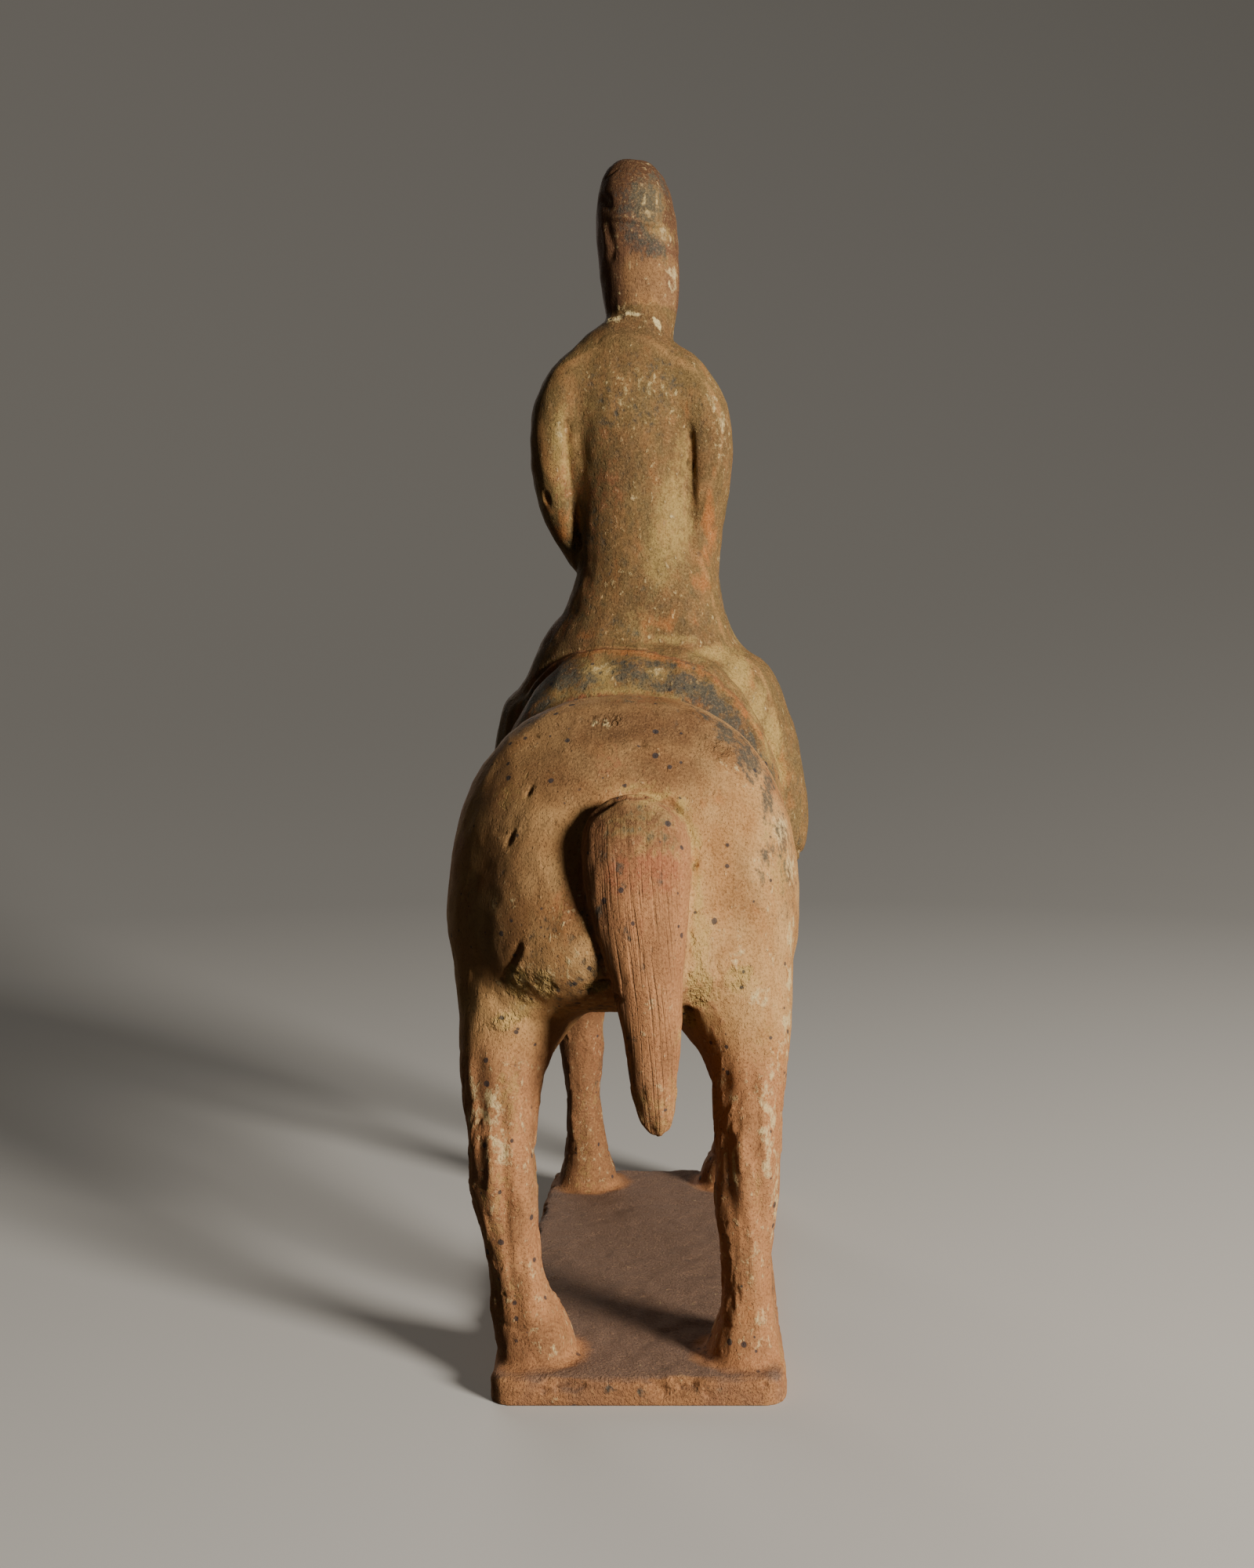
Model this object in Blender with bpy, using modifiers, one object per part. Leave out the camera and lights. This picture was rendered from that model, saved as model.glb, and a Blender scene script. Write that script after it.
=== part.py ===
"""Horse and rider: a fired clay tomb figure on a thin slab, one solid piece.

Frame: metres, +Z up, the horse faces +Y, the origin is the middle of the slab's
underside. The figure's own proportions are given in parts, as a modeller's canon:
it stands PARTS_TALL parts high above the slab.
"""

import bpy
import bmesh
from math import cos, pi, sin
from mathutils import Matrix, Vector

# Driving sizes, in metres
FIGURE_HEIGHT = 0.382
PLATE_THICKNESS = 0.008
PLATE_SIDE_MARGIN = 0.0118
PLATE_END_MARGIN = 0.0185
PLATE_CORNER_RADIUS = 0.0070
PLATE_EDGE_ROUND = 0.0022
UNDERSIDE_TRIM = 0.003

# How finely the joined clay is resolved, and how much its joints are smoothed
CLAY_GRAIN = 0.0013
SMOOTHING_PASSES = 5
SMOOTHING_FACTOR = 0.5
TRIANGLES = 9300

# Passes that blend legs into the horse's body and sleeves into the shoulders
HORSE_BLEND_PASSES = 45
ROBE_BLEND_PASSES = 30

# The canon: one part is a small share of the figure's height above the slab
PARTS_TALL = 382
PART = FIGURE_HEIGHT / PARTS_TALL

# Hoof places in parts: across from the middle line, along from the slab's middle
HIND_HOOF_ACROSS = 31.0
FORE_HOOF_ACROSS = 27.4
HOOF_ALONG = 83.0

# The fore legs stand a little to the right of the slab's middle
FORE_MIDDLE = 0.8

# Points round a section, rings between two given sections, and faces on the
# slab's rounded corners and on its rounded edge
SECTION_POINTS = 28
RINGS_BETWEEN = 5
CORNER_FACES = 6
EDGE_FACES = 3

# Heights above the slab in parts between which the joints are blended, and how
# much the zone narrows at either end by the last pass
HORSE_BLEND_ZONE = (88, 225)
ROBE_BLEND_ZONE = (282, 340)
BLEND_FADE = 9

# How square a section is, above and below its path: 2 is an ellipse
LIMB_FULLNESS = 2.2
BODY_FULLNESS = 2.38
BODY_FULLNESS_BELOW = 3.0
SADDLE_FULLNESS = 2.45
SADDLE_FULLNESS_BELOW = 5.0

RIGHT = Vector((1.0, 0.0, 0.0))
UP = Vector((0.0, 0.0, 1.0))

CLAY_COLOUR = (0.48, 0.245, 0.125, 1.0)
CLAY_ROUGHNESS = 0.88


def smooth_rows(rows, rings):
    """Rows of numbers with more rows between them, on a smooth curve through all."""
    padded = [rows[0]] + list(rows) + [rows[-1]]
    result = []
    for i in range(1, len(padded) - 2):
        before, here, after, beyond = padded[i - 1:i + 3]
        for k in range(rings):
            t = k / rings
            row = []
            for p0, p1, p2, p3 in zip(before, here, after, beyond):
                bend = 2 * p0 - 5 * p1 + 4 * p2 - p3
                turn = 3 * (p1 - p2) + p3 - p0
                row.append(0.5 * (2 * p1 + (p2 - p0) * t + bend * t ** 2 + turn * t ** 3))
            result.append(row)
    result.append(list(rows[-1]))
    return result


def rounded(value, fullness):
    """One coordinate of a round section; a fullness over 2 makes it squarer."""
    size = abs(value) ** (2.0 / fullness)
    return size if value >= 0 else -size


def add_loft(shape, rows, fullness=LIMB_FULLNESS, fullness_below=None, across=RIGHT):
    """A closed limb or body through sections.

    A row is x, y, height above the slab, half width, and the depths to the two
    sides that the path's direction gives: going down, back and front; going
    forward, below and above. All are in parts.
    """
    rows = smooth_rows(rows, RINGS_BETWEEN)
    centres = [Vector(row[:3]) * PART + UP * PLATE_THICKNESS for row in rows]
    fullness_below = fullness_below or fullness
    rings = []
    for i, row in enumerate(rows):
        ahead = centres[min(i + 1, len(rows) - 1)] - centres[max(i - 1, 0)]
        ahead.normalize()
        side = (across - ahead * across.dot(ahead)).normalized()
        lift = side.cross(ahead)
        half_width, minus, plus = (value * PART for value in row[3:6])
        ring = []
        for k in range(SECTION_POINTS):
            angle = 2 * pi * k / SECTION_POINTS
            bulge = fullness if sin(angle) > 0 else fullness_below
            a = rounded(cos(angle), bulge) * half_width
            b = rounded(sin(angle), bulge)
            b *= plus if b > 0 else minus
            ring.append(shape.verts.new(centres[i] + side * a + lift * b))
        rings.append(ring)
    faces = []
    for low, high in zip(rings, rings[1:]):
        for k in range(SECTION_POINTS):
            n = (k + 1) % SECTION_POINTS
            faces.append(shape.faces.new((low[k], low[n], high[n], high[k])))
    faces.append(shape.faces.new(rings[0][::-1]))
    faces.append(shape.faces.new(rings[-1]))
    bmesh.ops.recalc_face_normals(shape, faces=faces)


def remesh(figure):
    """Join all closed shells of the object into one."""
    join = figure.modifiers.new("join the clay", "REMESH")
    join.mode = "VOXEL"
    join.voxel_size = CLAY_GRAIN


def add_blended(shape, pieces, zone, passes):
    """Lofts joined into one form, with their joints smoothed wide between two heights."""
    mesh = bpy.data.meshes.new("unblended")
    pieces.to_mesh(mesh)
    pieces.free()
    rough = bpy.data.objects.new("unblended", mesh)
    bpy.context.scene.collection.objects.link(rough)
    remesh(rough)
    depsgraph = bpy.context.evaluated_depsgraph_get()
    joined = bpy.data.meshes.new_from_object(rough.evaluated_get(depsgraph))
    bpy.data.objects.remove(rough, do_unlink=True)
    bpy.data.meshes.remove(mesh)

    form = bmesh.new()
    form.from_mesh(joined)
    low, high = (height * PART + PLATE_THICKNESS for height in zone)
    for step in range(passes):
        narrowing = BLEND_FADE * PART * step / passes
        chosen = [v for v in form.verts if low + narrowing < v.co.z < high - narrowing]
        bmesh.ops.smooth_vert(form, verts=chosen, factor=SMOOTHING_FACTOR,
                              use_axis_x=True, use_axis_y=True, use_axis_z=True)
    form.to_mesh(joined)
    form.free()
    shape.from_mesh(joined)
    bpy.data.meshes.remove(joined)


def mirrored(rows, middle):
    """The same rows on the other side of the plane x = middle."""
    return [[2 * middle - row[0]] + list(row[1:]) for row in rows]


# Horse

# The body from the buttocks to the breast: the rump sits a little to the left
BODY = [
    (-4.6, -99.0, 132, 7, 7, 7),
    (-5.0, -97.0, 131, 16.5, 15, 17),
    (-5.5, -93.5, 130, 27, 22, 29),
    (-6.0, -87.5, 129, 38.2, 26, 42.5),
    (-6.0, -79.5, 128, 47, 28.5, 54),
    (-6.0, -69.0, 127, 53, 29, 62.5),
    (-6.0, -54.0, 127, 55.4, 30, 67.4),
    (-5.8, -37.0, 127, 53, 34, 66.5),
    (-5.0, -16.0, 128, 48, 38, 60),
    (-3.0, 10.0, 129, 45, 40, 57),
    (-1.5, 36.0, 130, 45, 39, 59),
    (0.0, 60.0, 130, 46, 36, 60),
    (0.5, 80.0, 132, 42, 33, 54),
    (0.5, 93.0, 134, 33, 28, 42),
    (0.5, 101.0, 136, 21, 20, 26),
    (0.5, 104.5, 137, 8, 8, 9),
]

# Neck from inside the body up to the poll, depths to throat and to crest
NECK = [
    (0.0, 46, 148, 38, 34, 30),
    (0.3, 61, 169, 31, 38, 29),
    (0.3, 76, 191, 23.5, 30, 24),
    (0.0, 90, 213, 18.8, 22.5, 20),
    (0.0, 102, 234, 16.5, 18, 18),
    (0.0, 111, 250, 15.5, 16, 15),
    (0.0, 117, 259, 12.5, 12, 11),
]

# Head from the poll down to the lips, depths to jaw and to forehead
HORSE_HEAD = [
    (0.0, 105, 262, 8, 8, 6),
    (0.0, 112, 256, 14.5, 16, 11),
    (0.0, 121, 246, 16.5, 22, 12),
    (0.0, 132, 233, 15.0, 19, 11.5),
    (0.0, 143, 219, 11.0, 13.5, 11),
    (0.0, 152, 208, 9.6, 10.5, 10),
    (0.0, 160, 198.5, 10.4, 10.5, 9.5),
    (0.0, 165, 192.5, 9.2, 9, 8),
    (0.0, 168, 188.8, 4.5, 4.5, 4.5),
]

# Ear from the skull to its tip, on the left
EAR = [
    (-7.5, 108, 258, 5.0, 4.0, 4.0),
    (-9.0, 107, 268, 5.2, 3.0, 3.6),
    (-10.2, 106, 278, 4.0, 2.4, 2.8),
    (-10.6, 105.5, 285, 1.8, 1.4, 1.5),
    (-10.6, 105.5, 287, 0.6, 0.6, 0.6),
]

# The brow bone over the horse's eye, on the left
BROW = [
    (-11.0, 115, 259, 2.0, 2.0, 2.0),
    (-13.8, 120, 253, 3.6, 3.2, 3.4),
    (-14.2, 126, 245, 3.4, 3.0, 3.0),
    (-12.0, 131, 238, 1.6, 1.6, 1.6),
]

# Hind leg from the hip to the hoof, depths back and front
LEFT_HIND_LEG = [
    (-28.0, -50, 152, 25, 27, 30),
    (-31.0, -54, 134, 27, 28, 30),
    (-33.4, -58, 120, 26.2, 27.5, 28),
    (-35.6, -62.5, 110, 23.6, 25.5, 25),
    (-38.2, -68.5, 100, 19.2, 21, 21),
    (-40.6, -73, 90, 14.8, 16.5, 17),
    (-41.6, -77, 81, 12.0, 13.8, 14),
    (-41.2, -80.5, 71, 10.5, 12.2, 12),
    (-40.4, -85, 58, 9.4, 11.5, 10),
    (-40.2, -85.5, 48, 9.4, 9, 8.5),
    (-38.2, -85, 34, 7.4, 8, 7.5),
    (-36.0, -84.5, 22, 7.6, 8, 8),
    (-33.6, -84, 12, 9.6, 9.5, 11),
    (-HIND_HOOF_ACROSS, -HOOF_ALONG, 3, 11.4, 12.5, 14),
    (-HIND_HOOF_ACROSS, -HOOF_ALONG, -5, 11.4, 13.5, 15),
]

RIGHT_HIND_LEG = [
    (16.0, -50, 152, 25, 27, 30),
    (19.0, -54, 134, 26.6, 28, 30),
    (21.8, -58, 120, 25.8, 27.5, 28),
    (24.8, -62.5, 110, 23.0, 25.5, 25),
    (28.4, -68.5, 100, 18.6, 21, 21),
    (31.5, -73, 90, 14.2, 16.5, 17),
    (32.4, -77, 81, 11.7, 13.8, 14),
    (31.9, -80.5, 71, 10.3, 12.2, 12),
    (31.9, -85, 58, 9.3, 11.5, 10),
    (31.4, -85.5, 46, 9.2, 9, 8.5),
    (30.7, -85, 32, 7.2, 8, 7.5),
    (31.1, -84.5, 20, 7.3, 8, 8),
    (31.2, -84, 11, 8.4, 9.5, 11),
    (HIND_HOOF_ACROSS, -HOOF_ALONG, 3, 10.6, 12.5, 14),
    (HIND_HOOF_ACROSS, -HOOF_ALONG, -5, 11.0, 13.5, 15),
]

# Fore leg from the shoulder to the hoof, on the left
FORE_LEG = [
    (-25.0, 60, 140, 18, 22, 22),
    (-28.0, 68, 112, 17, 20, 20),
    (-29.8, 75, 90, 13.0, 15, 15),
    (-30.0, 79, 70, 9.8, 11, 11),
    (-29.4, 81, 52, 8.6, 9.5, 9.5),
    (-28.9, 81, 38, 6.7, 7.5, 7.5),
    (-28.0, 81, 24, 6.8, 8, 8),
    (-27.8, 82, 14, 7.8, 9, 10),
    (-FORE_HOOF_ACROSS, HOOF_ALONG, 4, 11.4, 12, 13),
    (-FORE_HOOF_ACROSS, HOOF_ALONG, -5, 12.2, 13, 14),
]

# Tail from its thick root to the tip: it bears on the buttocks, then hangs free
TAIL = [
    (-0.6, -91.0, 163.4, 4.0, 4.0, 8),
    (-0.8, -92.0, 161.4, 10.2, 7.4, 12),
    (-0.9, -93.2, 157, 14.4, 9.2, 14),
    (-0.8, -94.8, 150, 16.2, 10.2, 15),
    (-0.4, -97.0, 141, 16.0, 10.6, 15),
    (0.5, -99.2, 131, 14.4, 10.4, 14),
    (1.9, -100.8, 119, 12.0, 9.2, 11.5),
    (3.4, -102, 106, 9.5, 8.0, 7.8),
    (4.6, -102, 90, 7.4, 6.8, 6.4),
    (5.2, -101.5, 78, 5.7, 5.4, 5.2),
    (5.4, -101.2, 72, 4.4, 4.0, 4.0),
    (5.4, -101.0, 68.8, 2.2, 2.2, 2.2),
]

# Half width, sink and rise of the mane on the crest of the neck, and the forelock
MANE_SECTION = (3.8, 9.0, 6.0)
FORELOCK = [
    (0.0, 108, 267, 3.4, 7, 3.4),
    (0.0, 116, 263.5, 3.2, 6, 3.2),
    (0.0, 124, 254, 1.8, 4, 1.8),
]

# Saddle and its cloth, lying over the back from cantle to pommel
SADDLE = [
    (-4.5, -41, 128, 46, 18, 60),
    (-4.2, -37, 128, 50, 24, 69),
    (-3.8, -31, 128, 50.8, 26, 78),
    (-3.2, -20, 128, 50.2, 26, 84),
    (-2.0, 4, 128, 48.8, 26, 78),
    (-1.0, 26, 128, 48.6, 26, 80),
    (-0.5, 40, 128, 48.8, 26, 78),
    (-0.3, 46, 128, 48.4, 24, 68),
    (0.0, 50, 128, 44, 18, 58),
]

# Rider

# Robe from the neck to the hem, depths back and front
ROBE = [
    (-4.0, 4.0, 326, 9.5, 9.5, 9),
    (-5.0, 3.5, 320, 14.0, 12, 11),
    (-6.4, 2.0, 311, 22.0, 15, 14),
    (-6.0, 1.0, 298, 24.5, 17, 16),
    (-5.0, 0.5, 283, 22.0, 17.5, 16.5),
    (-4.2, 0.0, 265, 20.8, 17, 16),
    (-3.2, 0.0, 249, 21.6, 17, 17),
    (-1.2, 0.0, 235, 25.2, 18, 18.5),
    (-1.3, 0.0, 222, 28.6, 21, 22),
    (-2.0, 1.5, 209, 37.6, 26, 27),
    (-1.2, 3.0, 196, 47.0, 28, 32),
    (-1.3, 4.5, 184, 52.0, 28, 35),
    (-0.9, 6.0, 168, 54.8, 25.5, 34),
    (-0.2, 7.0, 151, 56.4, 22, 30),
    (-0.6, 7.5, 139, 53.5, 18.5, 25),
    (-0.8, 7.5, 135, 47, 14, 20),
]

# Leg from under the robe to the ankle, and the boot from heel to toe, on the left
RIDER_LEG = [
    (-36.0, 10, 172, 12, 14, 14),
    (-43.5, 19, 166, 11.0, 14, 15),
    (-46.0, 24, 156, 9.0, 13.5, 13.5),
    (-46.4, 22, 140, 8.0, 11, 11),
    (-46.4, 19, 126, 7.0, 9, 9),
    (-46.4, 18, 115, 6.4, 8, 8),
    (-46.4, 18, 108, 6.0, 7, 7),
]

BOOT = [
    (-46.4, 9.5, 107.0, 4.0, 3.5, 5.0),
    (-46.5, 13, 107.0, 6.2, 6.0, 8.0),
    (-46.8, 24, 105.5, 6.8, 5.5, 8.0),
    (-47.2, 36, 104.0, 6.4, 4.6, 6.2),
    (-47.6, 46, 104.0, 4.6, 3.8, 4.4),
    (-47.8, 50, 104.5, 1.8, 1.8, 1.8),
]

RIDER_MIDDLE = -1.0

# Sleeves from the shoulders to below the elbows: the left one stands off more
LEFT_SLEEVE = [
    (-15.0, 2, 310, 7, 9, 9),
    (-23.6, 0.5, 305.5, 9.4, 12.5, 11),
    (-29.8, -0.5, 294, 10.6, 13.5, 12),
    (-31.0, 0.5, 281, 10.6, 13.5, 13),
    (-30.6, 3.0, 268, 9.9, 13.5, 13.5),
    (-28.4, 5.5, 256, 8.2, 12.5, 12.5),
    (-25.2, 8.0, 246, 5.8, 10.5, 10),
    (-23.0, 10.0, 239, 3.4, 6, 6),
]

RIGHT_SLEEVE = [
    (3.0, 2, 310, 7, 9, 9),
    (10.8, 0.5, 305.5, 9.0, 12.5, 11),
    (17.0, -0.5, 294, 10.2, 13.5, 12),
    (18.8, 0.0, 281, 10.2, 13.5, 13),
    (18.4, 1.5, 268, 9.6, 13.5, 13.5),
    (17.2, 4, 256, 8.8, 12.5, 12.5),
    (16.6, 5, 245, 8.1, 11.5, 10.5),
    (16.4, 5, 235, 7.6, 10, 9),
    (15.4, 5, 226, 4.6, 6, 6),
]

# Forearms forward to the fists, which meet over the pommel
LEFT_FOREARM = [
    (-28.5, 5, 262, 9, 9, 9),
    (-26.0, 16, 260, 10.4, 10, 9.6),
    (-22.0, 27, 257, 10.6, 11.5, 10.5),
    (-14.5, 34.5, 256, 9.0, 10.0, 9.0),
    (-10.5, 37.5, 256, 7.2, 7.4, 7.2),
    (-6.5, 39.5, 256, 7.4, 7.6, 7.4),
    (-3.0, 40.5, 256, 5.6, 6.0, 5.6),
    (-1.6, 40.5, 256, 2.2, 2.2, 2.2),
]

RIGHT_FOREARM = [
    (15.5, 4, 261, 8.5, 8.5, 8.5),
    (16.2, 15, 259, 10.4, 9.2, 10),
    (13.6, 27, 257, 10.4, 10.4, 10.4),
    (9.5, 34.5, 256, 9.0, 10.0, 9.0),
    (7.0, 37.5, 256, 7.2, 7.4, 7.2),
    (4.5, 39.5, 256, 7.2, 7.6, 7.2),
    (2.0, 40.5, 256, 5.6, 6.0, 5.6),
    (0.6, 40.5, 256, 2.2, 2.2, 2.2),
]

# Head in its soft hood, from the crown down into the collar
RIDER_HEAD = [
    (-5.0, 5.0, 382.4, 3.0, 3, 3),
    (-5.2, 5.2, 381.0, 6.6, 7, 7),
    (-5.6, 5.5, 376.5, 10.6, 11.5, 11.5),
    (-5.5, 6.0, 369.5, 12.9, 14.5, 13.5),
    (-4.7, 6.5, 358, 14.4, 16, 13.5),
    (-3.9, 6.5, 345, 14.3, 15.5, 12),
    (-3.2, 5.5, 334, 13.5, 13.5, 10.5),
    (-3.0, 4.5, 326, 12.2, 12, 9.5),
    (-3.3, 4.0, 318, 11.2, 11, 9.5),
    (-4.0, 4.0, 308, 11, 10, 9),
]

# Face, set in the hood from the brow to the chin, and its nose
FACE = [
    (-4.5, 10, 360, 9.0, 5, 8.5),
    (-4.4, 10, 356, 11.4, 6, 10.4),
    (-4.2, 10, 349, 12.3, 6, 10.5),
    (-4.0, 10, 342, 12.0, 6, 10.9),
    (-3.8, 10, 336, 10.2, 6, 10.8),
    (-3.6, 10, 331.5, 7.2, 6, 9.6),
    (-3.5, 10, 328.8, 4.2, 5, 6.8),
    (-3.5, 10, 328.0, 1.6, 2, 3.0),
]

NOSE = [
    (-4.3, 18.8, 354, 1.4, 2.0, 1.6),
    (-4.2, 19.6, 349, 1.7, 2.4, 2.2),
    (-4.1, 20.6, 344.5, 2.5, 3.0, 3.2),
    (-4.1, 20.4, 342.2, 2.4, 2.6, 2.6),
    (-4.1, 19.6, 341.0, 1.4, 1.6, 1.4),
]

# The rolled edge of the hood above the brow
HOOD_ROLL_PLACE = (-4.7, 6.2, 358.5)
HOOD_ROLL_RADII = (13.2, 14.9)
HOOD_ROLL_THICKNESS = 1.5
HOOD_ROLL_TILT = 0.12
HOOD_ROLL_STEPS = 40
HOOD_ROLL_SIDES = 8


def add_mane(shape):
    """A clipped mane along the crest, from the withers to the forelock."""
    crest = []
    for before, row, after in zip(NECK, NECK[1:], NECK[2:]):
        ahead = (Vector(after[:3]) - Vector(before[:3])).normalized()
        place = Vector(row[:3]) + RIGHT.cross(ahead) * row[5]
        crest.append(tuple(place) + MANE_SECTION)
    add_loft(shape, crest + FORELOCK)


def add_hood_roll(shape):
    """The rolled edge of the hood: a ring round the head above the brow."""
    others = set(shape.verts)
    across, along = (radius * PART for radius in HOOD_ROLL_RADII)
    place = Matrix.Translation(RIGHT * along) @ Matrix.Rotation(pi / 2, 4, "X")
    bmesh.ops.create_circle(shape, radius=HOOD_ROLL_THICKNESS * PART,
                            segments=HOOD_ROLL_SIDES, matrix=place)
    circle = [v for v in shape.verts if v not in others]
    edges = list({e for v in circle for e in v.link_edges})
    bmesh.ops.spin(shape, geom=circle + edges, axis=UP, angle=2 * pi,
                   steps=HOOD_ROLL_STEPS, use_merge=True)
    ring = [v for v in shape.verts if v not in others]
    middle = Vector(HOOD_ROLL_PLACE) * PART + UP * PLATE_THICKNESS
    oval = Matrix.Diagonal((across / along, 1.0, 1.0, 1.0))
    tilt = Matrix.Rotation(HOOD_ROLL_TILT, 4, "X")
    bmesh.ops.transform(shape, matrix=Matrix.Translation(middle) @ tilt @ oval, verts=ring)
    bmesh.ops.recalc_face_normals(shape, faces=list({f for v in ring for f in v.link_faces}))


def plate_size():
    """Width and length of the slab, from where the hooves stand and its margins."""
    width = 2 * (HIND_HOOF_ACROSS * PART + PLATE_SIDE_MARGIN)
    length = 2 * (HOOF_ALONG * PART + PLATE_END_MARGIN)
    return width, length


def add_plate(shape):
    """The slab, a little too deep: its underside is trimmed flat afterwards."""
    width, length = plate_size()
    depth = PLATE_THICKNESS + UNDERSIDE_TRIM
    centre = UP * (PLATE_THICKNESS - depth / 2)
    place = Matrix.Translation(centre) @ Matrix.Diagonal((width, length, depth, 1.0))
    made = bmesh.ops.create_cube(shape, size=1.0, matrix=place)
    corners = set(made["verts"])
    edges = [e for e in shape.edges if e.verts[0] in corners and e.verts[1] in corners]
    upright = [e for e in edges if abs((e.verts[0].co - e.verts[1].co).z) > depth / 2]
    bmesh.ops.bevel(shape, geom=upright, offset=PLATE_CORNER_RADIUS, segments=CORNER_FACES,
                    profile=0.5, affect="EDGES", material=-1)
    shape.normal_update()
    top = max(shape.faces, key=lambda f: f.normal.z * f.calc_area())
    bmesh.ops.bevel(shape, geom=list(top.edges), offset=PLATE_EDGE_ROUND, segments=EDGE_FACES,
                    profile=0.5, affect="EDGES", material=-1)


def build_shape():
    """All the figure's forms as overlapping closed shells, to be joined into one."""
    shape = bmesh.new()
    add_plate(shape)
    horse = bmesh.new()
    add_loft(horse, BODY, BODY_FULLNESS, BODY_FULLNESS_BELOW)
    for rows in (NECK, LEFT_HIND_LEG, RIGHT_HIND_LEG, FORE_LEG, mirrored(FORE_LEG, FORE_MIDDLE)):
        add_loft(horse, rows)
    add_blended(shape, horse, HORSE_BLEND_ZONE, HORSE_BLEND_PASSES)
    add_loft(shape, HORSE_HEAD)
    add_mane(shape)
    for rows in (EAR, BROW):
        add_loft(shape, rows)
        add_loft(shape, mirrored(rows, 0.0))
    add_loft(shape, TAIL)
    add_loft(shape, SADDLE, SADDLE_FULLNESS, SADDLE_FULLNESS_BELOW)
    robe = bmesh.new()
    for rows in (ROBE, LEFT_SLEEVE, RIGHT_SLEEVE):
        add_loft(robe, rows)
    add_blended(shape, robe, ROBE_BLEND_ZONE, ROBE_BLEND_PASSES)
    for rows in (RIDER_LEG, BOOT):
        add_loft(shape, rows)
        add_loft(shape, mirrored(rows, RIDER_MIDDLE))
    add_loft(shape, LEFT_FOREARM, across=UP)
    add_loft(shape, RIGHT_FOREARM, across=UP)
    add_loft(shape, RIDER_HEAD)
    add_loft(shape, FACE)
    add_loft(shape, NOSE)
    add_hood_roll(shape)
    return shape


def clay_material():
    material = bpy.data.materials.new("fired_clay")
    material.use_nodes = True
    shader = material.node_tree.nodes["Principled BSDF"]
    shader.inputs["Base Color"].default_value = CLAY_COLOUR
    shader.inputs["Roughness"].default_value = CLAY_ROUGHNESS
    shader.inputs["Metallic"].default_value = 0.0
    return material


def triangle_count(obj):
    """Triangles of the object as its modifiers leave it."""
    depsgraph = bpy.context.evaluated_depsgraph_get()
    seen = obj.evaluated_get(depsgraph)
    mesh = seen.to_mesh()
    count = sum(len(face.vertices) - 2 for face in mesh.polygons)
    seen.to_mesh_clear()
    return count


def make_cutter(collection):
    """A block under the ground plane, twice the slab's size, to trim its underside flat."""
    width, length = plate_size()
    size = Matrix.Diagonal((2 * width, 2 * length, 2 * PLATE_THICKNESS, 1.0))
    place = Matrix.Translation(-UP * PLATE_THICKNESS) @ size
    shape = bmesh.new()
    bmesh.ops.create_cube(shape, size=1.0, matrix=place)
    mesh = bpy.data.meshes.new("underside_cutter")
    shape.to_mesh(mesh)
    shape.free()
    cutter = bpy.data.objects.new("underside_cutter", mesh)
    cutter.hide_render = True
    cutter.display_type = "WIRE"
    collection.objects.link(cutter)
    return cutter


def make_figure(collection, cutter):
    shape = build_shape()
    mesh = bpy.data.meshes.new("horse_and_rider")
    shape.to_mesh(mesh)
    shape.free()
    figure = bpy.data.objects.new("horse_and_rider", mesh)
    collection.objects.link(figure)
    mesh.materials.append(clay_material())

    remesh(figure)
    soften = figure.modifiers.new("smooth the joints", "SMOOTH")
    soften.factor = SMOOTHING_FACTOR
    soften.iterations = SMOOTHING_PASSES
    ratio = TRIANGLES / triangle_count(figure)
    thin = figure.modifiers.new("fewer faces", "DECIMATE")
    thin.ratio = ratio
    trim = figure.modifiers.new("flat underside", "BOOLEAN")
    trim.operation = "DIFFERENCE"
    trim.solver = "EXACT"
    trim.object = cutter
    return figure


def main():
    for obj in list(bpy.data.objects):
        bpy.data.objects.remove(obj, do_unlink=True)
    figure_parts = bpy.data.collections.new("horse_and_rider_figure")
    cutters = bpy.data.collections.new("cutters")
    bpy.context.scene.collection.children.link(figure_parts)
    bpy.context.scene.collection.children.link(cutters)
    cutter = make_cutter(cutters)
    make_figure(figure_parts, cutter)


main()
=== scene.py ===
"""Horse and rider, a fired clay tomb figure: the finished surface and the studio stage.

Frame: metres, +Z up, the horse faces +Y. The relief's and the colours' places are
given in millimetres in that frame, as a conservator would note them on a drawing.
"""

from math import cos, pi, radians, sin

import bmesh
import bpy
import numpy as np
from bpy.props import FloatProperty, FloatVectorProperty, IntProperty, PointerProperty
from mathutils import Matrix, Vector


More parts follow.
